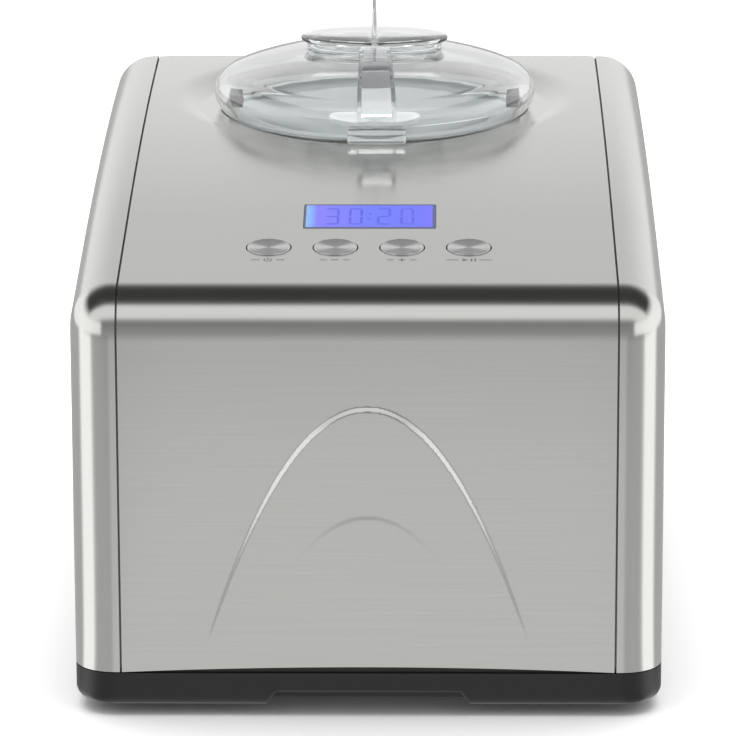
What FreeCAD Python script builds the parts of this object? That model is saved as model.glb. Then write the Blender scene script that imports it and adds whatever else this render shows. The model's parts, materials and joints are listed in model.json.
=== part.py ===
import FreeCAD, Part
import math
import os
import Sketcher

# Ice cream maker with a built-in compressor.  Millimetres, +Z up, -Y is the front.
# The origin is the middle of the footprint, on the surface the feet stand on.

DIMENSIONS = {
    # outside shape
    "body_width": 285, "body_depth": 425, "foot_height": 5, "steel_bottom": 22.6,
    "deck_top": 240.9, "deck_slope": 7, "deck_radius": 2408, "bend_radius": 24,
    "rear_bend": 20.5, "side_radius": 20, "sheet": 1.2, "seam_x": 119.5, "seam_gap": 1,
    "base_wall": 3, "base_edge": 6, "recess_half_width": 50.5, "recess_top": 13.1,
    # round opening in the deck and what stands in it
    "lid_y": 88.5, "hole_radius": 81.3, "dish_radius": 91.4, "dish_z": 236.2,
    "dish_slope": 0.24, "seat_z": 230.2, "rim_z": 235.8, "pot_radius": 73.8,
    "pot_floor": 107, "bowl_radius": 71.8, "bowl_wall": 1.5, "bowl_floor": 108.6,
    "tube_top": 180, "paddle_radius": 69.5, "shaft_radius": 5, "shaft_top": 195,
    # clear lid
    "lid_rim": 80.2, "lid_wall": 2.4, "neck_width": 35.4, "neck_depth": 22.5,
    "neck_bottom": 258.9, "neck_top": 272, "cap_width": 38.6, "cap_depth": 24,
    "cap_top": 274.7, "fin_height": 24,
    # control panel, measured from a point on the deck at the button row
    "panel_y": -145.7, "panel_z": 217.52, "button_radius": 10.8, "button_pitch": 32.4,
    "window_width": 65, "window_height": 33.8, "window_centre": 42.8,
    # gear train
    "gear_floor": 51, "mid_axis_y": 43.5, "motor_y": 10.5, "motor_radius": 30,
    # cooling unit
    "pump_x": -72, "pump_y": -118, "pump_radius": 56, "fan_y": -130, "fan_z": 90,
    "fan_radius": 48, "tube_size": 3, "coil_radius": 78.3, "coil_pitch": 12.5,
}

PRESSURE_ANGLE = math.radians(20)

doc = FreeCAD.newDocument("IceCreamMaker")
sheet = doc.addObject("Spreadsheet::Sheet", "dims")
for row, (alias, number) in enumerate(DIMENSIONS.items(), start=1):
    sheet.set("A%d" % row, alias)
    sheet.set("B%d" % row, str(number))
    sheet.setAlias("B%d" % row, alias)
doc.recompute()

parts = {}


class Size:
    """A length that carries its number and the spreadsheet rule it comes from."""

    def __init__(self, number, rule):
        self.number = float(number)
        self.rule = rule

    def _join(self, sign, other, number):
        return Size(number, "(%s %s %s)" % (self.rule, sign, size(other).rule))

    def __add__(self, other):
        return self._join("+", other, self.number + size(other).number)

    def __sub__(self, other):
        return self._join("-", other, self.number - size(other).number)

    def __mul__(self, other):
        return self._join("*", other, self.number * size(other).number)

    def __truediv__(self, other):
        return self._join("/", other, self.number / size(other).number)

    def __neg__(self):
        return Size(-self.number, "(0 - %s)" % self.rule)

    def __radd__(self, other):
        return size(other) + self

    def __rsub__(self, other):
        return size(other) - self


def size(value):
    """Turn a plain number into a Size; a Size stays as it is."""
    if isinstance(value, Size):
        return value
    return Size(value, repr(round(float(value), 6)))


def dim(alias):
    """The Size of one named dimension in the sheet."""
    return Size(DIMENSIONS[alias], "dims." + alias)


# ---------------------------------------------------------------- general helpers

AXIS_TURNS = {
    "Z": FreeCAD.Rotation(),
    "X": FreeCAD.Rotation(FreeCAD.Vector(0, 1, 0), 90),
    "Y": FreeCAD.Rotation(FreeCAD.Vector(1, 0, 0), -90),
}


def bind(thing, **rules):
    """Drive properties of a feature from Sizes."""
    for name, value in rules.items():
        thing.setExpression(name, size(value).rule)


def place(thing, at, turn=None):
    """Put a feature at three Sizes, with an optional rotation."""
    numbers = [size(value).number for value in at]
    thing.Placement = FreeCAD.Placement(FreeCAD.Vector(*numbers), turn or FreeCAD.Rotation())
    for letter, value in zip("xyz", at):
        thing.setExpression(".Placement.Base." + letter, size(value).rule)
    return thing


def box(low, high):
    """A block between two corners."""
    solid = doc.addObject("Part::Box", "block")
    bind(solid, Length=size(high[0]) - low[0], Width=size(high[1]) - low[1],
         Height=size(high[2]) - low[2])
    return place(solid, low)


def rod(radius, length, at, axis="Z"):
    """A cylinder that starts at a point and runs along an axis."""
    solid = doc.addObject("Part::Cylinder", "rod")
    bind(solid, Radius=radius, Height=length)
    return place(solid, at, AXIS_TURNS[axis])


def cone(radius_low, radius_high, length, at, axis="Z"):
    solid = doc.addObject("Part::Cone", "cone")
    bind(solid, Radius1=radius_low, Radius2=radius_high, Height=length)
    return place(solid, at, AXIS_TURNS[axis])


def oval(half_width, half_depth, length, at):
    """An upright column with an oval outline, wider than it is deep."""
    outline = doc.addObject("Part::Ellipse", "outline")
    bind(outline, MajorRadius=half_width, MinorRadius=half_depth)
    column = doc.addObject("Part::Extrusion", "column")
    column.Base = outline
    column.DirMode = "Custom"
    column.Dir = FreeCAD.Vector(0, 0, 1)
    column.Solid = True
    bind(column, LengthFwd=length)
    return place(column, at)


def fuse(*solids):
    joined = doc.addObject("Part::MultiFuse", "joined")
    joined.Shapes = list(solids)
    return joined


def common(*solids):
    shared = doc.addObject("Part::MultiCommon", "shared")
    shared.Shapes = list(solids)
    return shared


def group(*solids):
    """Separate solids that are one node."""
    together = doc.addObject("Part::Compound", "together")
    together.Links = list(solids)
    return together


def cut(solid, *tools):
    """Take one or more tools away from a solid."""
    result = doc.addObject("Part::Cut", "cut")
    result.Base = solid
    result.Tool = tools[0] if len(tools) == 1 else group(*tools)
    return result


def pipe(outer, inner, length, at, axis="Z"):
    """A cylinder with a bore right through."""
    step = {"X": 0, "Y": 1, "Z": 2}[axis]
    start = list(at)
    start[step] = size(at[step]) - 1
    return cut(rod(outer, length, at, axis), rod(inner, size(length) + 2, start, axis))


def keep(name, thing):
    """Make a finished feature a sub-part of the machine."""
    thing.Label = name
    parts[name] = thing
    return thing


def plane(body, role):
    return [face for face in body.Origin.OriginFeatures if face.Role == role][0]


def new_sketch(body, role):
    sketch = body.newObject("Sketcher::SketchObject", "outline")
    sketch.AttachmentSupport = [(plane(body, role), "")]
    sketch.MapMode = "FlatFace"
    return sketch


def drive(sketch, kind, *reference, value):
    """Add one measured constraint and bind it to the sheet."""
    number = size(value).number
    index = sketch.addConstraint(Sketcher.Constraint(kind, *reference, number))
    sketch.setExpression("Constraints[%d]" % index, size(value).rule)


def polygon(sketch, points):
    """A closed outline with every corner driven by the sheet."""
    spots = [FreeCAD.Vector(size(a).number, size(b).number, 0) for a, b in points]
    count = len(spots)
    for index in range(count):
        sketch.addGeometry(Part.LineSegment(spots[index], spots[(index + 1) % count]))
    for index in range(count):
        sketch.addConstraint(Sketcher.Constraint("Coincident", index, 2, (index + 1) % count, 1))
    for index, (across, along) in enumerate(points):
        drive(sketch, "DistanceX", -1, 1, index, 1, value=across)
        drive(sketch, "DistanceY", -1, 1, index, 1, value=along)


def padded(points, role, length, centred=False, at=(0, 0, 0)):
    """A straight-sided solid: an outline on a plane, padded to one side or equally to both."""
    body = doc.addObject("PartDesign::Body", "body")
    sketch = new_sketch(body, role)
    polygon(sketch, points)
    pad = body.newObject("PartDesign::Pad", "pad")
    pad.Profile = sketch
    bind(pad, Length=length)
    pad.Midplane = centred
    body.Tip = pad
    place(body, at)
    return body


def turned(points, at=(0, 0, 0)):
    """A solid of revolution about a vertical axis from (radius, height) corners."""
    body = doc.addObject("PartDesign::Body", "body")
    sketch = new_sketch(body, "XZ_Plane")
    polygon(sketch, points)
    spin = body.newObject("PartDesign::Revolution", "spin")
    spin.Profile = sketch
    spin.ReferenceAxis = (sketch, ["V_Axis"])
    spin.Angle = 360
    body.Tip = spin
    place(body, at)
    doc.recompute()
    return body


def soften(body, radius, test):
    """Round the edges of a body's last feature that pass a test."""
    doc.recompute()
    last = body.Tip
    names = ["Edge%d" % (number + 1) for number, edge in enumerate(last.Shape.Edges) if test(edge)]
    fillet = body.newObject("PartDesign::Fillet", "fillet")
    fillet.Base = (last, names)
    bind(fillet, Radius=radius)
    body.Tip = fillet
    return body


def ring_edge(radius, height):
    """A test for the circular edge at one radius and height of a turned body."""
    def test(edge):
        curve = edge.Curve
        if not hasattr(curve, "Radius"):
            return False
        near_radius = abs(curve.Radius - size(radius).number) < 0.05
        return near_radius and abs(curve.Center.z - size(height).number) < 0.05
    return test


def upright(edge):
    ends = [vertex.Point for vertex in edge.Vertexes]
    return len(ends) == 2 and abs(ends[0].x - ends[1].x) + abs(ends[0].y - ends[1].y) < 0.01


def rounded_block(low, high, corner):
    """A block with its four upright edges rounded."""
    x0, y0, z0 = low
    x1, y1, z1 = high
    outline = [(x0, y0), (x1, y0), (x1, y1), (x0, y1)]
    body = padded(outline, "XY_Plane", size(z1) - z0, at=(0, 0, z0))
    return soften(body, corner, upright)


def tube_run(points, radius, bend):
    """A bent pipe along straight runs with rounded corners."""
    spots = [FreeCAD.Vector(*[size(value).number for value in spot]) for spot in points]
    edges = []
    here = spots[0]
    for before, corner, after in zip(spots, spots[1:], spots[2:]):
        into = (before - corner).normalize()
        out = (after - corner).normalize()
        opening = into.getAngle(out)
        reach = bend / math.tan(opening / 2)
        start = corner + into * reach
        finish = corner + out * reach
        inward = (into + out).normalize()
        middle = corner + inward * (bend / math.sin(opening / 2) - bend)
        edges.append(Part.makeLine(here, start))
        edges.append(Part.Arc(start, middle, finish).toShape())
        here = finish
    edges.append(Part.makeLine(here, spots[-1]))
    spine = doc.addObject("Part::Feature", "spine")
    spine.Shape = Part.Wire(edges)
    circle = doc.addObject("Part::Circle", "bore")
    turn = FreeCAD.Rotation(FreeCAD.Vector(0, 0, 1), spots[1] - spots[0])
    circle.Placement = FreeCAD.Placement(spots[0], turn)
    bind(circle, Radius=radius)
    return sweep(circle, spine, len(edges))


def sweep(circle, spine, edge_count):
    run = doc.addObject("Part::Sweep", "run")
    run.Sections = [circle]
    run.Spine = (spine, ["Edge%d" % (number + 1) for number in range(edge_count)])
    run.Solid = True
    run.Frenet = True
    return run


# ---------------------------------------------------------------- the housing envelope

def envelope(inset, bottom):
    """The outside shape of the housing, moved inwards by an inset, as a solid."""
    inset = size(inset)
    front = -dim("body_depth") / 2 + inset
    rear = dim("body_depth") / 2 - inset
    top = dim("deck_top") - inset
    bend = dim("bend_radius") - inset
    rear_bend = dim("rear_bend") - inset
    arch = dim("deck_radius") - inset
    slope = math.radians(DIMENSIONS["deck_slope"])
    body = doc.addObject("PartDesign::Body", "envelope")
    sketch = new_sketch(body, "YZ_Plane")
    profile_geometry(sketch, front.number, rear.number, top.number, bend.number,
                     rear_bend.number, arch.number, slope, size(bottom).number)
    for first, second in (((0, 2), (1, 2)), ((1, 1), (2, 1)), ((2, 2), (3, 2)),
                          ((3, 1), (4, 2)), ((4, 1), (5, 1))):
        sketch.addConstraint(Sketcher.Constraint("Tangent", *first, *second))
    sketch.addConstraint(Sketcher.Constraint("Coincident", 5, 2, 6, 1))
    sketch.addConstraint(Sketcher.Constraint("Coincident", 6, 2, 0, 1))
    sketch.addConstraint(Sketcher.Constraint("Vertical", 0))
    sketch.addConstraint(Sketcher.Constraint("Vertical", 5))
    sketch.addConstraint(Sketcher.Constraint("Horizontal", 6))
    sketch.addConstraint(Sketcher.Constraint("Vertical", 4, 3, 4, 2))
    drive(sketch, "DistanceX", -1, 1, 0, 1, value=front)
    drive(sketch, "DistanceX", -1, 1, 5, 2, value=rear)
    drive(sketch, "DistanceY", -1, 1, 0, 1, value=bottom)
    drive(sketch, "DistanceY", -1, 1, 4, 2, value=top)
    drive(sketch, "Radius", 1, value=bend)
    drive(sketch, "Radius", 4, value=rear_bend)
    drive(sketch, "Radius", 3, value=arch)
    turn = sketch.addConstraint(Sketcher.Constraint("Angle", 2, slope))
    sketch.setExpression("Constraints[%d]" % turn, "dims.deck_slope * 1 deg")
    pad = body.newObject("PartDesign::Pad", "pad")
    pad.Profile = sketch
    pad.Midplane = True
    bind(pad, Length=dim("body_width") - inset * 2)
    body.Tip = pad
    half = DIMENSIONS["body_width"] / 2 - inset.number
    low = size(bottom).number

    def side_outline(edge):
        spots = [edge.valueAt(edge.FirstParameter), edge.valueAt(edge.LastParameter)]
        on_side = all(abs(abs(spot.x) - half) < 0.01 for spot in spots)
        return on_side and not all(abs(spot.z - low) < 0.01 for spot in spots)

    return soften(body, dim("side_radius") - inset, side_outline)


def profile_geometry(sketch, front, rear, top, bend, rear_bend, arch, slope, bottom):
    """Front, bend, sloping deck, arched deck, rear bend, rear and underside."""
    def spot(across, up):
        return FreeCAD.Vector(across, up, 0)

    middle = rear - rear_bend
    hub = spot(middle, top - arch)
    line_end = spot(middle - arch * math.sin(slope), hub.y + arch * math.cos(slope))
    bend_y = front + bend
    bend_z = line_end.y + math.tan(slope) * (bend_y - line_end.x) - bend / math.cos(slope)
    line_start = spot(bend_y - bend * math.sin(slope), bend_z + bend * math.cos(slope))
    right = math.pi / 2
    front_circle = Part.Circle(spot(bend_y, bend_z), FreeCAD.Vector(0, 0, 1), bend)
    deck_circle = Part.Circle(hub, FreeCAD.Vector(0, 0, 1), arch)
    rear_circle = Part.Circle(spot(middle, top - rear_bend), FreeCAD.Vector(0, 0, 1), rear_bend)
    sketch.addGeometry(Part.LineSegment(spot(front, bottom), spot(front, bend_z)))
    sketch.addGeometry(Part.ArcOfCircle(front_circle, right + slope, math.pi))
    sketch.addGeometry(Part.LineSegment(line_start, line_end))
    sketch.addGeometry(Part.ArcOfCircle(deck_circle, right, right + slope))
    sketch.addGeometry(Part.ArcOfCircle(rear_circle, 0, right))
    sketch.addGeometry(Part.LineSegment(spot(rear, top - rear_bend), spot(rear, bottom)))
    sketch.addGeometry(Part.LineSegment(spot(rear, bottom), spot(front, bottom)))


HALF = dim("body_width") / 2
FRONT = -dim("body_depth") / 2
REAR = dim("body_depth") / 2
STEEL = dim("sheet")
LOW = dim("steel_bottom")
SEAM_IN = dim("seam_x") - dim("seam_gap") / 2
SEAM_OUT = dim("seam_x") + dim("seam_gap") / 2
LID = (0, dim("lid_y"), 0)


def slab(x_low, x_high, y_low=None, y_high=None, z_low=0, z_high=300):
    """A large block used to pick out a region of the housing."""
    y_low = FRONT - 5 if y_low is None else y_low
    y_high = REAR + 5 if y_high is None else y_high
    return box((x_low, y_low, z_low), (x_high, y_high, z_high))


# ---------------------------------------------------------------- control panel frame

PANEL_TURN = FreeCAD.Rotation(FreeCAD.Vector(1, 0, 0), DIMENSIONS["deck_slope"])
BUTTON_SPOTS = {
    "button_power": dim("button_pitch") * -1.5,
    "button_less": dim("button_pitch") * -0.5,
    "button_more": dim("button_pitch") * 0.5,
    "button_start": dim("button_pitch") * 1.5,
}


def on_panel(*solids):
    """Lay solids made in flat panel coordinates onto the sloping deck."""
    return place(group(*solids), (0, dim("panel_y"), dim("panel_z")), PANEL_TURN)


def window_block(grow, low, high):
    """A block over the display window, grown on all four sides."""
    half_width = dim("window_width") / 2 + grow
    half_height = dim("window_height") / 2 + grow
    centre = dim("window_centre")
    return box((-half_width, centre - half_height, low), (half_width, centre + half_height, high))


# ---------------------------------------------------------------- base and housing

def make_base_tray():
    outer = rounded_block((-HALF, FRONT, dim("foot_height")), (HALF, REAR, LOW - 0.5),
                          dim("side_radius"))

    def underside(edge):
        return all(abs(vertex.Point.z) < 0.01 for vertex in edge.Vertexes)

    soften(outer, dim("base_edge"), underside)
    wall = dim("base_wall")
    floor = dim("foot_height") + wall
    cavity = rounded_block((-HALF + wall, FRONT + wall, floor), (HALF - wall, REAR - wall, LOW + 5),
                           dim("side_radius") - wall)
    tongue = cut(tongue_block(STEEL + 0.3, LOW - 2, LOW + 7), tongue_block(STEEL + 2.3, LOW - 3, LOW + 8))
    tray = fuse(cut(outer, cavity), tongue)
    shelf = box((-dim("recess_half_width") - 6, FRONT + 2.5, floor - 1),
                (dim("recess_half_width") + 6, FRONT + 19, dim("recess_top") + 3))
    bosses = [rod(5, 3.5, (x, y, floor - 0.5)) for x in (-105, 105) for y in (-150, 0, 150)]
    top = dim("recess_top")
    reach = dim("recess_half_width")
    outline = [(-reach, 4), (reach, 4), (reach - 5.5, top), (5.5 - reach, top)]
    grip = padded(outline, "XZ_Plane", 16, at=(0, FRONT + 16, 0))
    grip_front = padded(outline, "XZ_Plane", 16, at=(0, FRONT + 2, 0))
    sockets = [rod(9.3, 1, (x, y, 5)) for x in (-112, 112) for y in (-178, 178)]
    slots = [box((40, -190 + 12 * i, 4), (98, -184 + 12 * i, 9)) for i in range(9)]
    keep("base_tray", cut(fuse(tray, shelf, *bosses), grip, grip_front, *sockets, *slots))


def tongue_block(inset, low, high):
    return rounded_block((-HALF + inset, FRONT + inset, low), (HALF - inset, REAR - inset, high),
                         dim("side_radius") - inset)


def make_underside():
    feet = [fuse(rod(9, 4, (x, y, 2)), cone(7.5, 9, 2, (x, y, 0))) for x in (-112, 112) for y in (-178, 178)]
    keep("rubber_feet", group(*feet))
    plate = rounded_block((-128, -192.5, 11), (128, 196, 12.5), 12)
    slots = [box((42, -189 + 12 * i, 10), (96, -185 + 12 * i, 14)) for i in range(9)]
    keep("chassis_plate", cut(plate, *slots))


def vent_slots(x_low, x_high, first_y, count, z_low, z_high):
    """Upright louvre slots through a side wall."""
    return [box((x_low, first_y + 9 * i, z_low), (x_high, first_y + 9 * i + 4, z_high))
            for i in range(count)]


def make_housing():
    outside = envelope(0, LOW)
    inside = envelope(STEEL, LOW - 5)
    under = envelope(STEEL + 0.1, LOW + 8)
    deep = envelope(STEEL + 1.3, LOW - 5)
    skin = cut(outside, inside)
    keep_centre_panel(skin, outside)
    thick = cut(outside, deep)
    step = cut(under, deep)
    for name, sign in (("left_side_panel", -1), ("right_side_panel", 1)):
        keep_side_panel(name, sign, skin, thick, step)
    make_rear_panel()
    make_seat(inside)


def dish_profile(drop):
    """The surface of the round dish in the deck, as (radius, height) from the hole outwards."""
    crease = dim("dish_radius")
    level = dim("dish_z") - drop
    far = 40
    return [(crease, level), (crease + far, level + dim("dish_slope") * far)]


def keep_centre_panel(skin, outside):
    hole = dim("hole_radius")
    level = dim("dish_z")
    surface = dish_profile(0)
    back = dish_profile(STEEL)
    above = turned([(0, level), *surface, (surface[1][0], 270), (0, 270)], LID)
    sheet_below = turned([(hole, level - STEEL), *back, surface[1], surface[0], (hole, level)], LID)
    width = slab(-SEAM_IN, SEAM_IN)
    middle = common(cut(skin, above), width)
    dish = common(sheet_below, outside, width)
    opening = rod(hole, 60, (0, dim("lid_y"), 210))
    holes = [rod(dim("button_radius") + 0.4, 10, (x, 0, -5)) for x in BUTTON_SPOTS.values()]
    panel_cuts = on_panel(window_block(0.2, -5, 5), *holes)
    rear = slab(-HALF, HALF, REAR - 6, REAR + 5, 0, 214)
    arch = rod(2646, 30, (0, FRONT - 10, LOW + 2.7 - 2646), "Y")
    keep("center_panel", cut(fuse(middle, dish), opening, panel_cuts, rear, arch))


def make_seat(inside):
    """The gutter the lid stands in, with a collar that carries the bowl's rim."""
    low = dim("seat_z") - 1.5
    outer = dim("hole_radius") + 1.4
    gutter = turned([(74.4, low), (outer, low), (outer, dim("seat_z")), (77, dim("seat_z")),
                     (77, dim("rim_z")), (74.4, dim("rim_z"))], LID)
    wall = pipe(outer, dim("hole_radius") + 0.1, dim("dish_z") - STEEL - low, (0, dim("lid_y"), low))
    keep("lid_seat_ring", fuse(gutter, common(wall, inside)))


def keep_side_panel(name, sign, skin, thick, step):
    def side(near, far):
        low, high = sorted((sign * near, sign * far))
        return low, high

    gap = DIMENSIONS["seam_x"] + DIMENSIONS["seam_gap"] / 2
    wall = common(skin, slab(*side(gap, 150)))
    joint = common(thick, slab(*side(gap, gap + 4), z_low=LOW + 8))
    flange = common(step, slab(*side(gap - 8, gap + 0.5)))
    slots = vent_slots(*side(130, 150), -186, 13, 45, 125)
    keep(name, cut(fuse(wall, joint, flange), *slots))


def make_rear_panel():
    plate = box((-SEAM_IN, REAR - STEEL, LOW), (SEAM_IN, REAR, 213.5))
    slots = [box((x, REAR - 5, 70 + 9 * i), (x + 62, REAR + 5, 73.5 + 9 * i))
             for x in (-76, 14) for i in range(12)]
    gland_hole = rod(8.2, 10, (80, REAR - 5, 48), "Y")
    spots = [(x, z) for x in (-110, 0, 110) for z in (34, 204)]
    holes = [rod(3.7, 10, (x, REAR - 5, z), "Y") for x, z in spots]
    keep("rear_panel", cut(plate, gland_hole, *slots, *holes))
    screws = [fuse(rod(3.5, 1.1, (x, REAR - 1.2, z), "Y"), rod(1.6, 6, (x, REAR - 7.2, z), "Y"))
              for x, z in spots]
    keep("panel_screws", group(*screws))
    gland = fuse(rod(8, 12.3, (80, REAR - 12.5, 48), "Y"), rod(11, 3, (80, REAR - 5, 48), "Y"))
    keep("cord_gland", cut(gland, rod(3.8, 20, (80, REAR - 14, 48), "Y")))


# ---------------------------------------------------------------- cold pot and bowl

def make_pot():
    wall = 1.2
    inner = dim("pot_radius")
    floor = dim("pot_floor")
    keep("evaporator_pot", turned([
        (12, floor - wall), (inner + wall, floor - wall), (inner + wall, 227), (inner + 5, 227),
        (inner + 5, 228.2), (inner, 228.2), (inner, floor), (12, floor)], LID))
    keep("pot_insulation", turned([
        (16, 98), (94, 98), (94, 226.5), (82, 226.5), (82, 105.5), (16, 105.5)], LID))
    helix = doc.addObject("Part::Helix", "coil_path")
    bind(helix, Pitch=dim("coil_pitch"), Height=dim("coil_pitch") * 8, Radius=dim("coil_radius"))
    place(helix, (0, dim("lid_y"), 116))
    circle = doc.addObject("Part::Circle", "bore")
    bind(circle, Radius=dim("tube_size"))
    place(circle, (dim("coil_radius"), dim("lid_y"), 116),
          FreeCAD.Rotation(FreeCAD.Vector(1, 0, 0), 90))
    keep("evaporator_coil", sweep(circle, helix, 1))
    seal = pipe(11.9, dim("shaft_radius") + 0.05, 3, (0, dim("lid_y"), 104.1))
    keep("shaft_seal", seal)


def make_bowl():
    inner = dim("bowl_radius")
    outer = inner + dim("bowl_wall")
    floor = dim("bowl_floor")
    under = floor - dim("bowl_wall")
    rim = dim("rim_z")
    top = dim("tube_top")
    body = turned([
        (6, under), (outer, under), (outer, rim), (77.2, rim), (77.2, rim + 1.2), (inner, rim + 1.2),
        (inner, floor), (8.5, floor), (8.5, top), (6, top)], LID)
    soften(body, 11.5, ring_edge(outer, under))
    soften(body, 10, ring_edge(inner, floor))
    keep("bowl", body)
    for name, sign in (("bowl_grip_left", -1), ("bowl_grip_right", 1)):
        keep_grip(name, sign)


def keep_grip(name, sign):
    """A finger pad on the bowl's rim with a lip that the fingers hook under."""
    low, high = sorted((sign * 69.6, sign * 76.2))
    rim = dim("rim_z") + 1.2
    y = dim("lid_y")
    pad = rounded_block((low, y - 11, rim), (high, y + 11, rim + 7), 1.5)
    ends = sorted((sign * 68, sign * 74.4))
    finger = box((ends[0], y - 8, rim + 1.5), (ends[1], y + 8, rim + 5.2))
    keep(name, cut(pad, finger))


# ---------------------------------------------------------------- paddle

def make_paddle():
    centre = dim("lid_y")
    bore = 10.25
    hub = turned([(bore, 112), (14, 112), (13, 224), (24, 228), (24, 231.5), (9, 234), (8, 247),
                  (3.4, 247), (3.4, 256), (0, 256), (0, 198), (6.5, 198), (6.5, 181.5), (bore, 181.5)], LID)
    half = 4.3
    core = cut(rod(9, 17, (0, centre, 181.2)),
               box((-half, centre - half, 181), (half, centre + half, 199)))
    blades = [paddle_blade(turn) for turn in (0, 180)]
    keep("paddle", fuse(hub, core, *blades))
    knob = cut(soften(turned([(0, 240), (6.2, 240), (6.2, 259), (0, 259)], LID), 1.2, ring_edge(6.2, 259)),
               rod(8.6, 7.1, (0, centre, 240)), rod(3.5, 9.2, (0, centre, 247)))
    keep("paddle_hub_knob", knob)
    keep("paddle_bush", pipe(10.2, 8.9, 36, (0, centre, 140)))


def paddle_blade(turn):
    """One open-frame wing: outer scraper, top and bottom rails and two slanted ribs."""
    reach = dim("paddle_radius")
    outline = [(12, 111), (reach - 4, 111), (reach, 115), (reach, 219), (13, 219)]
    low_window = [(20, 119), (reach - 9, 119), (reach - 9, 145), (20, 132)]
    mid_window = [(20, 140), (reach - 9, 153), (reach - 9, 182), (20, 166)]
    top_window = [(20, 174), (reach - 9, 190), (reach - 9, 211), (20, 211)]
    plate = padded(outline, "XZ_Plane", 3.2, centred=True)
    windows = [padded(window, "XZ_Plane", 8, centred=True) for window in (low_window, mid_window, top_window)]
    wing = cut(plate, *windows)
    rotation = FreeCAD.Rotation(FreeCAD.Vector(0, 0, 1), turn + 28)
    return place(wing, LID, rotation)


# ---------------------------------------------------------------- clear lid

DOME = [(80.2, 235.5), (81.8, 237.8), (83.3, 240.4), (84.2, 242.8), (84.5, 245.5), (84.2, 248.2),
        (83.3, 250.6), (82, 252.6), (80, 254.5), (77, 256.4), (73, 258.1), (68, 259.9), (62, 261.8),
        (55, 263.7), (48, 265.3), (41, 266.6), (34, 267.6), (22, 268.6), (0, 269)]
RIB_TURN = FreeCAD.Rotation(FreeCAD.Vector(0, 0, 1), 1.4)


def inward(outline, wall):
    """An outline moved square to itself by a wall thickness."""
    moved = []
    for index, (across, up) in enumerate(outline):
        before = outline[max(index - 1, 0)]
        after = outline[min(index + 1, len(outline) - 1)]
        run = math.hypot(after[0] - before[0], after[1] - before[1])
        moved.append((max(across - wall * (after[1] - before[1]) / run, 0),
                      up + wall * (after[0] - before[0]) / run))
    return moved


def make_lid():
    centre = dim("lid_y")
    rim = dim("lid_rim")
    wall = dim("lid_wall")
    foot = dim("seat_z") + 1.8
    hollow = inward(DOME, DIMENSIONS["lid_wall"])
    dome = turned([(rim - wall, foot), (rim, foot), *DOME, (0, hollow[-1][1]), *hollow[-2::-1]], LID)
    neck_low = (0, centre, dim("neck_bottom"))
    neck = oval(dim("neck_width"), dim("neck_depth"), dim("neck_top") - dim("neck_bottom"), neck_low)
    bore = oval(dim("neck_width") - 2, dim("neck_depth") - 2, 40, (0, centre, 250))
    tab = soften(padded([(-15, -90.3), (15, -90.3), (15, -81.5), (-15, -81.5)], "XY_Plane", 8.4,
                        at=(0, centre, 235.8)), 2, lambda edge: upright(edge) and front_corner(edge))
    tab.Placement = FreeCAD.Placement(tab.Placement.Base, RIB_TURN)
    rib = rib_block(0, [(-21, 271.8), (-24.3, 271.8), (-24.8, 273.8), (-35, 273.3), (-52, 270.2), (-68, 265.8),
                        (-80, 258.8), (-86.3, 250.4), (-86.6, 246), (-82.5, 246), (-76, 252), (-60, 258),
                        (-21, 262)])
    channel = rib_block(2.3, [(-27, 271.3), (-35, 271), (-51.4, 267.9), (-66.8, 263.7), (-77.8, 257.4),
                              (-83, 250.2), (-80, 246), (-60, 250), (-27, 254)])
    keep("lid_dome", cut(fuse(dome, neck, rib, tab), bore, channel))
    keep("lid_seal", pipe(rim - 0.1, rim - wall + 0.1, 1.8, (0, centre, dim("seat_z"))))
    make_cap()


def rib_block(inset, outline):
    """The raised channel from the neck to the front of the lid, wider towards the front."""
    side = padded(outline, "YZ_Plane", 40, centred=True, at=LID)
    wedge = padded([(inset - 7.7, -18), (inset - 10.3, -92), (10.3 - inset, -92), (7.7 - inset, -18)],
                   "XY_Plane", 60, at=(0, dim("lid_y"), 230))
    block = group(common(side, wedge))
    centre = FreeCAD.Vector(0, DIMENSIONS["lid_y"], 0)
    block.Placement = FreeCAD.Placement(FreeCAD.Vector(), RIB_TURN, centre)
    return block


def front_corner(edge):
    return edge.Vertexes[0].Point.y < -86


def make_cap():
    centre = dim("lid_y")
    top = dim("cap_top")
    under = dim("neck_top") + 0.2
    disc = oval(dim("cap_width"), dim("cap_depth"), top - under, (0, centre, under))
    skirt_low = (0, centre, under - 9.7)
    skirt = cut(oval(dim("neck_width") - 3.8, dim("neck_depth") - 3.8, 10.2, skirt_low),
                oval(dim("neck_width") - 6, dim("neck_depth") - 6, 9.7, skirt_low))
    height = dim("fin_height")
    fin = padded([(-1.3, top - 0.5), (1.3, top - 0.5), (0.5, top + height), (-0.5, top + height)],
                 "XZ_Plane", 41, centred=True, at=LID)
    shape = rod(34, 10, (-5, centre, top + height - 34), "X")
    keep("filler_cap", fuse(disc, skirt, common(fin, shape)))
    seal_low = (0, centre, under - 5.7)
    keep("cap_seal", cut(oval(dim("neck_width") - 2.3, dim("neck_depth") - 2.3, 2.4, seal_low),
                         oval(dim("neck_width") - 3.8, dim("neck_depth") - 3.8, 2.4, seal_low)))


# ---------------------------------------------------------------- gears and motor

def involute(base, angle):
    """A point on an involute of a base circle, before it is turned into place."""
    x = base * (math.cos(angle) + angle * math.sin(angle))
    y = base * (math.sin(angle) - angle * math.cos(angle))
    return x, y


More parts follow.
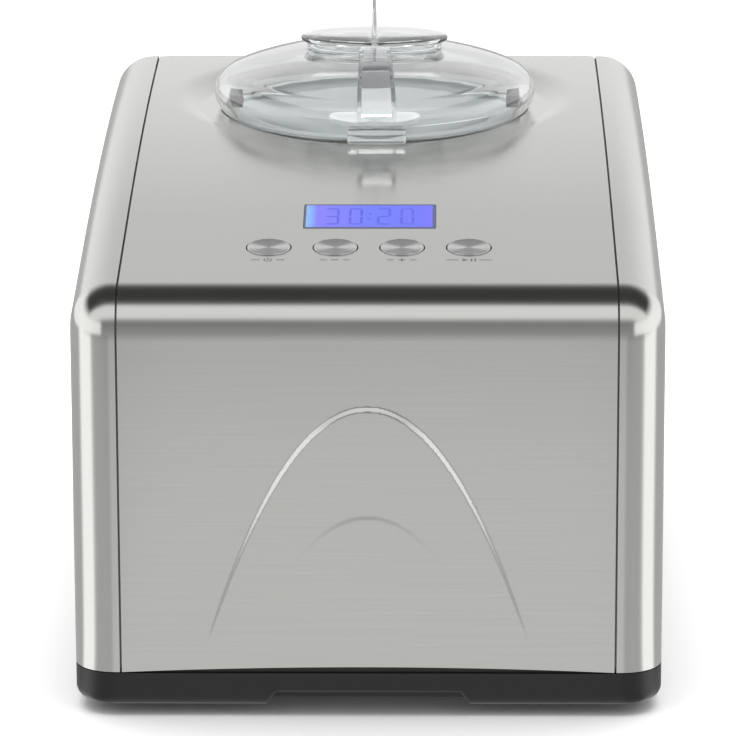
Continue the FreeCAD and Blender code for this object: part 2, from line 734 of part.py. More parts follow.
def gear_wire(teeth, module, backlash, phase):
    """The closed outline of a spur gear."""
    pitch = teeth * module / 2
    base = pitch * math.cos(PRESSURE_ANGLE)
    tip = pitch + module
    root = pitch - 1.25 * module
    spread = math.tan(PRESSURE_ANGLE) - PRESSURE_ANGLE
    half_tooth = math.pi / (2 * teeth) - backlash / (2 * pitch)
    flank_start = max(base, root)
    edges = []
    step = 2 * math.pi / teeth

    def turned_point(radius, angle):
        return FreeCAD.Vector(radius * math.cos(angle), radius * math.sin(angle), 0)

    def flank(centre, side):
        low = math.sqrt((flank_start / base) ** 2 - 1)
        high = math.sqrt((tip / base) ** 2 - 1)
        spots = []
        for index in range(5):
            x, y = involute(base, low + (high - low) * index / 4)
            angle = math.atan2(y, x) - half_tooth - spread
            spots.append(turned_point(math.hypot(x, y), centre + side * angle))
        return spots

    for tooth in range(teeth):
        centre = phase + tooth * step
        rise = flank(centre, 1)
        fall = flank(centre, -1)[::-1]
        foot_angle = math.atan2(rise[0].y, rise[0].x)
        root_in = turned_point(root, foot_angle)
        if flank_start > root + 0.001:
            edges.append(Part.makeLine(root_in, rise[0]))
        edges.append(smooth(rise))
        edges.append(Part.Arc(rise[-1], turned_point(tip, centre), fall[0]).toShape())
        edges.append(smooth(fall))
        leave_angle = math.atan2(fall[-1].y, fall[-1].x)
        root_out = turned_point(root, leave_angle)
        if flank_start > root + 0.001:
            edges.append(Part.makeLine(fall[-1], root_out))
        following = turned_point(root, foot_angle + step)
        edges.append(Part.Arc(root_out, turned_point(root, centre + step / 2), following).toShape())
    return Part.Wire(edges)


def smooth(spots):
    curve = Part.BSplineCurve()
    curve.interpolate(spots)
    return curve.toShape()


def gear(teeth, module, thickness, at, phase=0.0, backlash=0.12):
    """A spur gear without a bore."""
    outline = doc.addObject("Part::Feature", "teeth")
    outline.Shape = Part.Face(gear_wire(teeth, module, backlash, phase))
    wheel = doc.addObject("Part::Extrusion", "wheel")
    wheel.Base = outline
    wheel.DirMode = "Custom"
    wheel.Dir = FreeCAD.Vector(0, 0, 1)
    wheel.Solid = True
    bind(wheel, LengthFwd=thickness)
    return place(wheel, at)


def make_gears():
    centre = dim("lid_y")
    middle = dim("mid_axis_y")
    motor = dim("motor_y")
    down = -math.pi / 2
    up = math.pi / 2
    output = gear(60, 1.25, 9, (0, centre, 68), down)
    windows = [rod(8, 12, (22 * math.cos(a), centre + 22 * math.sin(a), 67))
               for a in [math.radians(45 + 60 * i) for i in range(6)]]
    output = cut(fuse(output, rod(11, 13, (0, centre, 66))), rod(5.02, 20, (0, centre, 62)), *windows)
    keep("output_gear", output)
    pinion = gear(12, 1.25, 18, (0, middle, 62.5), up + math.pi / 12)
    wheel = gear(54, 1.0, 7, (0, middle, 56), down)
    keep("intermediate_gear", cut(fuse(pinion, wheel), rod(3.05, 40, (0, middle, 50))))
    shaft_gear = gear(12, 1.0, 11, (0, motor, 54), up + math.pi / 12)
    keep("motor_shaft", fuse(shaft_gear, rod(3, 46, (0, motor, 20))))
    keep("intermediate_axle", rod(3, 33.5, (0, middle, 50.5)))
    square = 4
    end = box((-square, centre - square, 174), (square, centre + square, dim("shaft_top")))
    keep("drive_shaft", fuse(rod(dim("shaft_radius"), 122.5, (0, centre, 52.5)), end))


def make_gearbox():
    centre = dim("lid_y")
    floor = dim("gear_floor")
    low = (-47, -16, floor - 3)
    high = (47, 135, 84)
    outer = rounded_block(low, high, 30)
    cavity = rounded_block((-44, -13, floor), (44, 132, 90), 27)
    boss = rod(13, 7, (0, centre, floor - 0.5))
    posts = [rod(5, 36, (x, y, 12.5)) for x in (-36, 36) for y in (0, 118)]
    body = fuse(cut(outer, cavity), boss, *posts)
    motor_hole = rod(8, 10, (0, dim("motor_y"), floor - 5))
    axle_hole = rod(3.02, 10, (0, dim("mid_axis_y"), floor - 0.5))
    keep("gearbox_housing", cut(body, rod(9.6, 8, (0, centre, floor + 0.8)), motor_hole, axle_hole))
    cover = fuse(rounded_block((-47, -16, 84), (47, 135, 87), 30), rod(15, 5, (0, centre, 86.5)))
    keep("gearbox_cover", cut(cover, rod(11.1, 12, (0, centre, 83)), rod(3.1, 5, (0, dim("mid_axis_y"), 83))))
    keep("upper_bearing", pipe(11, 5.04, 7, (0, centre, 84.5)))
    keep("lower_bearing", pipe(9.5, 5.04, 5.5, (0, centre, 52)))


def make_motor():
    y = dim("motor_y")
    outer = dim("motor_radius")
    ring = pipe(outer, 24.5, 18, (0, y, 26))
    poles = []
    coils = []
    for index in range(6):
        turn = FreeCAD.Rotation(FreeCAD.Vector(0, 0, 1), 60 * index)
        pole = box((17.2, -3, 26), (25.5, 3, 44))
        coil = cut(box((18.6, -5.2, 24), (23.8, 5.2, 46)), box((18, -3.1, 25.9), (25, 3.1, 44.1)))
        poles.append(place(group(pole), (0, y, 0), turn))
        coils.append(place(group(coil), (0, y, 0), turn))
    keep("motor_stator", cut(fuse(ring, *poles), rod(17.2, 30, (0, y, 20))))
    keep("motor_windings", group(*coils))
    rotor = cut(rod(16.6, 19, (0, y, 25.5)), rod(3.02, 30, (0, y, 20)))
    keep("motor_rotor", rotor)
    can = cut(rod(outer + 2, 30, (0, y, 18)), rod(outer + 0.1, 30, (0, y, 20)))
    keep("motor_case", cut(can, rod(3.05, 10, (0, y, 15))))


# ---------------------------------------------------------------- cooling unit

def make_compressor():
    x = dim("pump_x")
    y = dim("pump_y")
    radius = dim("pump_radius")
    body = turned([(0, 27), (42, 27), (52, 33), (radius, 46), (radius, 92), (radius + 3, 92),
                   (radius + 3, 96), (radius, 96), (radius, 124), (51, 142), (36, 153), (0, 157),
                   (0, 153.5), (34, 150), (48, 139), (radius - 3, 122), (radius - 3, 47), (50, 35.5),
                   (41, 30.5), (0, 30.5)], (x, y, 0))
    plate = rounded_block((x - 60, y - 60, 24), (x + 60, y + 60, 27.2), 8)
    spots = [(x + a, y + b) for a in (-50, 50) for b in (-50, 50)]
    holes = [rod(5.4, 10, (a, b, 20)) for a, b in spots]
    ports = [rod(dim("tube_size") - 0.4, 12, (x + 32, y, 148)), rod(dim("tube_size"), 12, (x - 32, y, 148))]
    keep("compressor_shell", cut(fuse(body, plate), *holes, *ports))
    grommets = [grommet(a, b) for a, b in spots]
    keep("compressor_grommets", group(*grommets))
    pump = fuse(rod(40, 34, (x, y, 52)), rod(26, 30, (x, y, 84)), rod(13, 70, (x - 35, y, 104), "X"),
                rod(5, 30, (x, y, 38)))
    keep("compressor_pump", pump)
    cover = box((x + radius - 3, y - 20, 60), (x + radius + 14, y + 20, 90))
    keep("compressor_terminal_cover", cut(cover, rod(radius + 0.2, 60, (x, y, 45))))


def grommet(x, y):
    """A rubber mount with a waist that holds the foot plate."""
    return fuse(rod(9, 11.3, (x, y, 12.6)), rod(5.2, 4, (x, y, 23.7)), rod(8, 2.6, (x, y, 27.4)))


def make_condenser():
    x = 108
    rows = [36 + 22 * index for index in range(6)]
    near = -188
    far = -72
    size_of_pipe = dim("tube_size")
    fins = [box((94, -184 + 4 * i, 27), (122, -183.4 + 4 * i, 157)) for i in range(28)]
    bores = [rod(size_of_pipe + 0.15, 130, (x, -192, z), "Y") for z in rows]
    keep("condenser_fins", cut(group(*fins), *bores))
    path = [(x, far + 6, rows[0])]
    for index, z in enumerate(rows):
        outward = near - 11 if index % 2 == 0 else far + 11
        path.append((x, outward, z))
        if index + 1 < len(rows):
            path.append((x, outward, rows[index + 1]))
    path[-1] = (x, far + 6, rows[-1])
    keep("condenser_tube", tube_run(path, size_of_pipe, 10.9))


def make_fan():
    y = dim("fan_y")
    z = dim("fan_z")
    radius = dim("fan_radius")
    plate = box((68, y - 60, z - 58), (90, y + 60, z + 58))
    hollow = box((70, y - 58, z - 56), (91, y + 58, z + 56))
    ring = pipe(radius + 4, radius + 2, 18, (68, y, z), "X")
    mouth = rod(radius + 2, 10, (64, y, z), "X")
    struts = [box((63, y - 2, z - 52), (66, y + 2, z + 52)), box((63, y - 52, z - 2), (66, y + 52, z + 2))]
    feet = [box((63, y + low, z - 2), (69, y + low + 8, z + 2)) for low in (-56, 48)]
    posts = [box((63, y - 2, z + side * 50 - 4), (69, y + 2, z + side * 50 + 4)) for side in (-1, 1)]
    shroud = fuse(cut(plate, hollow, mouth), ring, *struts, *feet, *posts)
    bolt_down = box((68, y - 60, 12.5), (90, y + 60, z - 56))
    hollow_leg = box((70, y - 50, 12), (91, y + 50, z - 58.5))
    keep("fan_shroud", cut(fuse(shroud, cut(bolt_down, hollow_leg)), rod(9, 8, (61, y, z), "X")))
    motor = cut(fuse(rod(17, 20, (42.8, y, z), "X"), rod(8.8, 3.6, (62.6, y, z), "X")),
                rod(2.04, 40, (60, y, z), "X"))
    keep("fan_motor", motor)
    hub = fuse(cut(rod(14, 13, (71, y, z), "X"), rod(12, 10, (69, y, z), "X")), rod(2, 15, (60.5, y, z), "X"))
    blades = [fan_blade(index * 360 / 7) for index in range(7)]
    keep("fan_blades", fuse(hub, rod(4, 10, (71, y, z), "X"), *blades))


def fan_blade(turn):
    """One pitched blade, drawn about the X axis and turned into place."""
    inner = section(12.5, 13, 38)
    outer = section(DIMENSIONS["fan_radius"] - 0.5, 26, 24)
    blade = doc.addObject("Part::Feature", "blade")
    blade.Shape = Part.makeLoft([inner, outer], True, True)
    spin = FreeCAD.Rotation(FreeCAD.Vector(1, 0, 0), turn)
    return place(blade, (78, dim("fan_y"), dim("fan_z")), spin)


def section(radius, chord, pitch):
    """A thin blade section at one radius, pitched to the airflow."""
    lean = math.radians(pitch)
    along = FreeCAD.Vector(math.sin(lean), math.cos(lean), 0) * (chord / 2)
    across = FreeCAD.Vector(math.cos(lean), -math.sin(lean), 0) * 0.7
    centre = FreeCAD.Vector(0, 0, radius)
    corners = [centre - along - across, centre + along - across, centre + along + across,
               centre - along + across]
    return Part.makePolygon(corners + corners[:1])


def make_lines():
    pipe_size = dim("tube_size")
    drier_x = -116
    drier_y = -8
    keep("filter_drier", fuse(rod(9, 60, (drier_x, drier_y, 60)), cone(3.6, 9, 8, (drier_x, drier_y, 52)),
                              cone(9, 3.6, 8, (drier_x, drier_y, 120))))
    keep("discharge_line", tube_run([(-40, -118, 151.5), (-40, -118, 172), (20, -118, 172), (20, -60, 172),
                                     (108, -60, 172), (108, -60, 150.5)], pipe_size - 0.4, 9))
    keep("liquid_line", tube_run([(108, -60, 31.5), (108, -60, 18), (108, -40, 18), (-116, -40, 18),
                                  (-116, drier_y, 18), (-116, drier_y, 51.5)], pipe_size - 0.6, 9))
    keep("capillary_line", tube_run([(-116, drier_y, 128.5), (-116, drier_y, 142), (-116, 88.5, 142),
                                     (-98, 88.5, 142)], 1.6, 7))
    keep("suction_line", tube_run([(-98, 100, 200), (-116, 100, 200), (-116, 100, 186), (-128, 100, 186),
                                   (-128, -118, 186), (-104, -118, 186), (-104, -118, 151.5)],
                                  pipe_size, 5.5))


# ---------------------------------------------------------------- electronics

def make_controls():
    carrier = box((-65, -16, -7.5), (65, 18, -6))
    collars = [pipe(13.8, 12.3, 4.5, (x, 0, -6)) for x in BUTTON_SPOTS.values()]
    posts = [rod(2.5, 6.9, (x, y, -14.4)) for x in (-60, 60) for y in (-12, 14)]
    stems = [rod(3.4, 10, (x, 0, -10)) for x in BUTTON_SPOTS.values()]
    keep("button_carrier", on_panel(cut(fuse(carrier, *collars, *posts), *stems)))
    board = box((-64, -19, -16), (64, 64, -14.4))
    switches = [fuse(box((x - 3, -3, -14.5), (x + 3, 3, -11)), rod(1.75, 0.6, (x, 0, -11.1)))
                for x in BUTTON_SPOTS.values()]
    chips = [box((-20, 24, -19), (-4, 40, -16)), box((10, 26, -18), (22, 34, -16)),
             box((-50, 30, -22), (-38, 56, -16))]
    pins = [box((-28 + 4 * i, 27, -14.5), (-27 + 4 * i, 28, -9.2)) for i in range(15)]
    keep("control_board", on_panel(fuse(board, *switches, *chips, *pins)))
    for name, x in BUTTON_SPOTS.items():
        keep_button(name, x)
    keep("display_window", on_panel(window_block(0, -1.2, 0.1)))
    bezel = cut(window_block(2.5, -3.2, -1.3), window_block(-1.5, -4, 0))
    keep("display_module", on_panel(fuse(bezel, window_block(-1, -9, -3.1))))
    make_power_board()


def keep_button(name, x):
    """A dished cap with a retaining flange and a stem that presses its switch."""
    radius = dim("button_radius")
    cap = cut(fuse(rod(radius, 3.2, (x, 0, -2.4)), rod(radius + 1.1, 1.1, (x, 0, -3.4))),
              cone(1, radius - 1, 0.5, (x, 0, 0.45)))
    keep(name, on_panel(fuse(cap, rod(3, 6.5, (x, 0, -9.6)))))


def make_power_board():
    board = box((116, 20, 60), (117.6, 110, 170))
    relay = box((100, 30, 70), (116.1, 46, 90))
    choke = box((101, 30, 100), (116.1, 52, 126))
    capacitors = [rod(6, 18, (98.1, 34 + 16 * i, 146), "X") for i in range(2)]
    plugs = [box((106, 74, 130 + 12 * i), (116.1, 90, 138 + 12 * i)) for i in range(2)]
    posts = [rod(3, 22.4, (117.5, y, z), "X") for y in (26, 104) for z in (66, 164)]
    keep("power_board", fuse(board, relay, choke, *capacitors, *plugs, *posts))


# ---------------------------------------------------------------- build, check, write

make_base_tray()
make_underside()
make_housing()
make_pot()
make_bowl()
make_paddle()
make_lid()
make_gears()
make_gearbox()
make_motor()
make_compressor()
make_condenser()
make_fan()
make_lines()
make_controls()
doc.recompute()

problems = []
for thing in doc.Objects:
    if "Invalid" in thing.State or "Error" in thing.State:
        problems.append("%s (%s) is %s" % (thing.Name, thing.Label, thing.State))
for name, thing in parts.items():
    shape = thing.Shape
    if shape.isNull() or not shape.isValid() or not shape.Solids:
        problems.append("%s has no valid solid" % name)
if problems:
    raise RuntimeError("; ".join(problems[:12]))

os.makedirs("parts", exist_ok=True)
for name, thing in parts.items():
    thing.Shape.exportStep("parts/%s.step" % name)
print("wrote %d parts" % len(parts))
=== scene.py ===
import json
import math

import bpy
import numpy as np
from mathutils import Matrix, Vector
from mathutils.geometry import delaunay_2d_cdt


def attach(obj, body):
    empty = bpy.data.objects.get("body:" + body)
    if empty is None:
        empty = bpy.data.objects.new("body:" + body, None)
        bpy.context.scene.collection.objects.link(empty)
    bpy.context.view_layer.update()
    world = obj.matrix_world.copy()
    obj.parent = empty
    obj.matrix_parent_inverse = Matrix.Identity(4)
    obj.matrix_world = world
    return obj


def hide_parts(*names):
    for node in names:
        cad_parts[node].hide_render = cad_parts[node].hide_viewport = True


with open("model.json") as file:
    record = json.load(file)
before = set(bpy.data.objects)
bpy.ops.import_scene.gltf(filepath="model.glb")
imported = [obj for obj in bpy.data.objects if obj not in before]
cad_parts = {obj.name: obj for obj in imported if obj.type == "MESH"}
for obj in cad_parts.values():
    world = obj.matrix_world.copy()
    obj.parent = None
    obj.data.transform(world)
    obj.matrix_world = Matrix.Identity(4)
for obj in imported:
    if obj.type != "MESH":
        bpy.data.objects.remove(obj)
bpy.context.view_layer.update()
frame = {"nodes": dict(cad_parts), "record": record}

MM = 0.001
TAU = 2 * math.pi
TINY = 1e-6
# Step over which a surface's slope is measured (mm).
SLOPE_STEP = 0.05
# Texture units for a millimetre of sheet, and for a step round or along a turned piece.
UV_SCALE = 0.01
RING_UV = 0.05

# ---------- sizes shared with the CAD (mm)

HALF_WIDTH = 142.5
FRONT_Y = -212.5
REAR_Y = 212.5
STEEL_BOTTOM = 22.6
DECK_TOP = 240.9
DECK_RADIUS = 2408.0
DECK_SLOPE = math.radians(7)
BEND = 24.0
REAR_BEND = 20.5
SIDE_BEND = 20.0
SHEET = 1.2
SEAM = 119.5
SEAM_GAP = 1.0
LID_Y = 88.5
HOLE = 81.3
CREASE = 91.4
DISH_Z = 236.2
DISH_SLOPE = 0.24
PANEL_Y = -145.7
BUTTON_PITCH = 32.4
BUTTON_HOLE = 11.2
WINDOW = (65.4, 34.2)
WINDOW_CENTRE = 42.8

DECK_CENTRE_Y = REAR_Y - REAR_BEND
DECK_CENTRE_Z = DECK_TOP - DECK_RADIUS
LINE_END_Y = DECK_CENTRE_Y - DECK_RADIUS * math.sin(DECK_SLOPE)
LINE_END_Z = DECK_CENTRE_Z + DECK_RADIUS * math.cos(DECK_SLOPE)
BEND_Y = FRONT_Y + BEND
BEND_Z = LINE_END_Z + math.tan(DECK_SLOPE) * (BEND_Y - LINE_END_Y) - BEND / math.cos(DECK_SLOPE)
LINE_START_Y = BEND_Y - BEND * math.sin(DECK_SLOPE)


def deck_height(y):
    """Height and forward lean of the deck's outer surface at a depth y."""
    if y > DECK_CENTRE_Y:
        lean = -math.asin((y - DECK_CENTRE_Y) / REAR_BEND)
        return DECK_TOP - REAR_BEND * (1 - math.cos(lean)), lean
    if y >= LINE_END_Y:
        lean = math.asin((DECK_CENTRE_Y - y) / DECK_RADIUS)
        return DECK_CENTRE_Z + DECK_RADIUS * math.cos(lean), lean
    return LINE_END_Z + math.tan(DECK_SLOPE) * (y - LINE_END_Y), DECK_SLOPE


PANEL_Z = deck_height(PANEL_Y)[0]

# ---------- mesh helpers


class Skin:
    """Collects surface patches with exact normals and turns them into one mesh."""

    def __init__(self):
        self.verts = []
        self.normals = []
        self.uvs = []
        self.faces = []

    def add(self, verts, normals, uvs, faces):
        start = len(self.verts)
        self.verts.extend(verts)
        self.normals.extend(normals)
        self.uvs.extend(uvs)
        self.faces.extend([[start + i for i in face] for face in faces])

    def grid(self, rows):
        """A sheet of quads from rows of (point, normal, uv)."""
        width = len(rows[0])
        flat = [item for row in rows for item in row]
        faces = []
        for r in range(len(rows) - 1):
            for c in range(width - 1):
                a = r * width + c
                faces.append([a, a + 1, a + width + 1, a + width])
        self.add([f[0] for f in flat], [f[1] for f in flat], [f[2] for f in flat], faces)

    def lip(self, loop, depth, closed=True):
        """The cut edge of the sheet along a loop of (point, normal)."""
        count = len(loop)
        last = count if closed else count - 1
        for i in range(last):
            (p, n), (q, m) = loop[i], loop[(i + 1) % count]
            p, q, n, m = Vector(p), Vector(q), Vector(n), Vector(m)
            side = (q - p).cross(n)
            if side.length < 1e-9:
                continue
            side.normalize()
            verts = [p, q, q - m * depth, p - n * depth]
            self.add([tuple(v) for v in verts], [tuple(side)] * 4, [(0, 0)] * 4, [[0, 1, 2, 3]])

    def build(self, name):
        mesh = bpy.data.meshes.new(name)
        verts = np.array(self.verts, float) * MM
        mesh.from_pydata([tuple(v) for v in verts], [], self.faces)
        faces_up(mesh, np.array(self.normals, float))
        layer = mesh.uv_layers.new(name="UVMap")
        loops = np.zeros(len(mesh.loops), np.int32)
        mesh.loops.foreach_get("vertex_index", loops)
        layer.data.foreach_set("uv", np.array(self.uvs, np.float32)[loops].ravel())
        for polygon in mesh.polygons:
            polygon.use_smooth = True
        mesh.normals_split_custom_set_from_vertices([tuple(n) for n in self.normals])
        return placed(name, mesh)


def placed(name, data):
    """A new object in the scene."""
    obj = bpy.data.objects.new(name, data)
    bpy.context.collection.objects.link(obj)
    return obj


def faces_up(mesh, normals):
    """Turn every face so that it looks the way its vertices' normals do."""
    mesh.update()
    flips = []
    for polygon in mesh.polygons:
        mean = normals[list(polygon.vertices)].mean(axis=0)
        if Vector(mean).dot(polygon.normal) < 0:
            flips.append(polygon.index)
    for index in flips:
        mesh.polygons[index].flip()
    mesh.update()


def over_lid(x, y, z):
    """A point laid out from the lid's axis."""
    return (x, LID_Y + y, z)


def on_panel(x, y, z):
    """A point laid out on the leaning control panel."""
    return (x, PANEL_Y + y * math.cos(DECK_SLOPE) - z * math.sin(DECK_SLOPE),
            PANEL_Z + y * math.sin(DECK_SLOPE) + z * math.cos(DECK_SLOPE))


def solid(name, verts, faces, sharp=35, uvs=None):
    """A closed mesh from millimetre points, smooth apart from its sharp edges."""
    mesh = bpy.data.meshes.new(name)
    mesh.from_pydata([tuple(np.array(v, float) * MM) for v in verts], [], faces)
    if uvs:
        layer = mesh.uv_layers.new(name="UVMap")
        layer.data.foreach_set("uv", np.array(uvs, np.float32).ravel())
    for polygon in mesh.polygons:
        polygon.use_smooth = True
    mesh.set_sharp_from_angle(angle=math.radians(sharp))
    mesh.update()
    return placed(name, mesh)


def lathe(name, profile, place=over_lid, segments=128, sharp=35, closed=True, oval=0.0):
    """Turn a (radius, height) outline about an axis; oval takes some depth away to squash the ring."""
    verts = []
    faces = []
    uvs = []
    rings = []
    for radius, height in profile:
        start = len(verts)
        if radius < TINY:
            verts.append(place(0, 0, height))
            rings.append([start])
            continue
        for step in range(segments):
            angle = TAU * step / segments
            verts.append(place(radius * math.cos(angle), (radius - oval) * math.sin(angle), height))
        rings.append(list(range(start, start + segments)))
    pairs = [(i, i + 1) for i in range(len(rings) - 1)]
    if closed:
        pairs.append((len(rings) - 1, 0))
    for i, j in pairs:
        low, high = rings[i], rings[j]
        for step in range(segments if len(low) + len(high) > 2 else 0):
            after = (step + 1) % segments
            face = [low[step % len(low)], low[after % len(low)],
                    high[after % len(high)], high[step % len(high)]]
            spots = [(step, i), (step + 1, i), (step + 1, i + 1), (step, i + 1)]
            if len(low) == 1:
                face, spots = face[1:], spots[1:]
            elif len(high) == 1:
                face, spots = face[:3], spots[:3]
            faces.append(face)
            uvs.extend([(level * RING_UV, turn * RING_UV) for turn, level in spots])
    return solid(name, verts, faces, sharp, uvs)


def extrude(name, outline, low, high, place, sharp=35):
    """A prism: an outline of (a, b) points between two levels, laid out by place(a, b, level)."""
    count = len(outline)
    verts = [place(a, b, low) for a, b in outline] + [place(a, b, high) for a, b in outline]
    faces = [list(range(count))[::-1], [count + i for i in range(count)]]
    for i in range(count):
        j = (i + 1) % count
        faces.append([i, j, count + j, count + i])
    return solid(name, verts, faces, sharp)


def smooth_path(points, steps=8):
    """A Catmull-Rom curve through points."""
    spots = [np.array(p, float) for p in points]
    spots = [2 * spots[0] - spots[1]] + spots + [2 * spots[-1] - spots[-2]]
    out = []
    for i in range(1, len(spots) - 2):
        a, b, c, d = spots[i - 1:i + 3]
        for step in range(steps):
            t = step / steps
            out.append(tuple(0.5 * ((2 * b) + (c - a) * t + (2 * a - 5 * b + 4 * c - d) * t * t
                                    + (3 * b - a - 3 * c + d) * t ** 3)))
    out.append(tuple(spots[-2]))
    return out


def joined(name, first, others, operation="UNION"):
    """One mesh from a boolean of several; the inputs are removed."""
    for other in others:
        change = first.modifiers.new("shape", "BOOLEAN")
        change.operation = operation
        change.solver = "EXACT"
        change.object = other
    return baked(name, first, others)


def rounded(obj, width, segments=3):
    """The same mesh with its sharp edges rounded off."""
    change = obj.modifiers.new("edges", "BEVEL")
    change.width = width * MM
    change.segments = segments
    change.limit_method = "ANGLE"
    change.angle_limit = math.radians(35)
    return baked(obj.name, obj, ())


def baked(name, first, others):
    """A new mesh with the modifiers applied; the inputs are removed."""
    graph = bpy.context.evaluated_depsgraph_get()
    mesh = bpy.data.meshes.new_from_object(first.evaluated_get(graph))
    mesh.name = name
    for used in [first, *others]:
        bpy.data.objects.remove(used)
    for polygon in mesh.polygons:
        polygon.use_smooth = True
    mesh.set_sharp_from_angle(angle=math.radians(35))
    return placed(name, mesh)


# ---------- materials


class Look:
    """A node material: a Principled shader with procedural variation."""

    def __init__(self, name, color, metallic=0.0, roughness=0.5, **sockets):
        self.material = bpy.data.materials.new(name)
        self.material.use_nodes = True
        self.tree = self.material.node_tree
        self.shader = self.tree.nodes["Principled BSDF"]
        self.color = color
        self.roughness = roughness
        self.shader.inputs["Base Color"].default_value = (*color, 1)
        self.shader.inputs["Metallic"].default_value = metallic
        self.shader.inputs["Roughness"].default_value = roughness
        for socket, value in sockets.items():
            self.shader.inputs[socket.replace("_", " ")].default_value = value
        self.coordinates = self.node("ShaderNodeTexCoord").outputs["Object"]

    def node(self, kind, **settings):
        made = self.tree.nodes.new(kind)
        for key, value in settings.items():
            setattr(made, key, value)
        return made

    def link(self, source, target):
        self.tree.links.new(source, target)

    def noise(self, scale, detail=3.0, stretch=(1, 1, 1)):
        """Noise in object space; scale is per metre."""
        mapping = self.node("ShaderNodeMapping")
        mapping.inputs["Scale"].default_value = stretch
        self.link(self.coordinates, mapping.inputs["Vector"])
        texture = self.node("ShaderNodeTexNoise")
        texture.inputs["Scale"].default_value = scale
        texture.inputs["Detail"].default_value = detail
        self.link(mapping.outputs["Vector"], texture.inputs["Vector"])
        return texture.outputs["Fac"]

    def ramp(self, source, low, high):
        """Map a 0..1 value to a range."""
        remap = self.node("ShaderNodeMapRange")
        remap.inputs["To Min"].default_value = low
        remap.inputs["To Max"].default_value = high
        self.link(source, remap.inputs["Value"])
        return remap.outputs["Result"]

    def along(self, axis, low, high):
        """0 to 1 between two places along an axis, in metres."""
        split = self.node("ShaderNodeSeparateXYZ")
        self.link(self.coordinates, split.inputs[0])
        remap = self.node("ShaderNodeMapRange")
        remap.inputs["From Min"].default_value = low
        remap.inputs["From Max"].default_value = high
        self.link(split.outputs[axis], remap.inputs["Value"])
        return remap.outputs["Result"]

    def instead(self, kind, other):
        """Show another shader to rays of one kind."""
        mix = self.node("ShaderNodeMixShader")
        rays = self.node("ShaderNodeLightPath")
        self.link(rays.outputs["Is %s Ray" % kind], mix.inputs[0])
        self.link(self.shader.outputs[0], mix.inputs[1])
        self.link(other.outputs[0], mix.inputs[2])
        self.link(mix.outputs[0], self.tree.nodes["Material Output"].inputs["Surface"])

    def vary_color(self, source, amount):
        """Lighten and darken the base colour by a share of itself."""
        mix = self.node("ShaderNodeMix", data_type="RGBA")
        mix.inputs[6].default_value = (*[c * (1 - amount) for c in self.color], 1)
        mix.inputs[7].default_value = (*[min(1, c * (1 + amount)) for c in self.color], 1)
        self.link(source, mix.inputs[0])
        self.link(mix.outputs[2], self.shader.inputs["Base Color"])

    def vary_roughness(self, source, amount):
        spread = self.roughness * amount
        self.link(self.ramp(source, self.roughness - spread, self.roughness + spread),
                  self.shader.inputs["Roughness"])

    def bump(self, source, height):
        bump = self.node("ShaderNodeBump")
        bump.inputs["Distance"].default_value = height
        bump.inputs["Strength"].default_value = 1.0
        self.link(source, bump.inputs["Height"])
        self.link(bump.outputs["Normal"], self.shader.inputs["Normal"])

    def tangent(self, along):
        """Brush direction for the anisotropic highlight: along the UVs, or round an axis."""
        node = self.node("ShaderNodeTangent")
        if along == "UV":
            node.direction_type = "UV_MAP"
            node.uv_map = "UVMap"
        else:
            node.direction_type = "RADIAL"
            node.axis = along
        self.link(node.outputs["Tangent"], self.shader.inputs["Tangent"])


def brushed(name, color, roughness, stretch, along="UV", anisotropic=0.55):
    """Metal with fine streaks; stretch gives their direction."""
    look = Look(name, color, 1.0, roughness, Anisotropic=anisotropic)
    streaks = look.noise(900, 4, stretch)
    look.vary_color(streaks, 0.05)
    look.vary_roughness(streaks, 0.12)
    look.bump(streaks, 0.000006)
    if along:
        look.tangent(along)
    return look.material


def plastic(name, color, roughness, grain=1800, bump=0.00002, spread=0.12, **sockets):
    look = Look(name, color, 0.0, roughness, **sockets)
    coarse = look.noise(30, 4)
    look.vary_color(coarse, spread)
    look.vary_roughness(look.noise(160, 3), 0.15)
    look.bump(look.noise(grain, 2), bump)
    return look.material


def metal(name, color, roughness, grain=700, stretch=(1, 1, 1), bump=0.00001, spread=0.06):
    look = Look(name, color, 1.0, roughness)
    fine = look.noise(grain, 4, stretch)
    look.vary_color(look.noise(40, 3), spread)
    look.vary_roughness(fine, 0.2)
    look.bump(fine, bump)
    return look.material


def clear(name, color, roughness):
    """Glass-like plastic that casts no dark shadow."""
    look = Look(name, color, 0.0, roughness, IOR=1.36, Transmission_Weight=1.0,
                Coat_Weight=0.8, Coat_IOR=1.7, Coat_Roughness=0.04)
    look.vary_color(look.noise(25, 2), 0.01)
    look.vary_roughness(look.noise(60, 2), 0.3)
    through = look.node("ShaderNodeBsdfTransparent")
    through.inputs["Color"].default_value = (0.97, 0.98, 0.98, 1)
    look.instead("Shadow", through)
    return look.material


STEEL_TINT = (0.60, 0.60, 0.58)

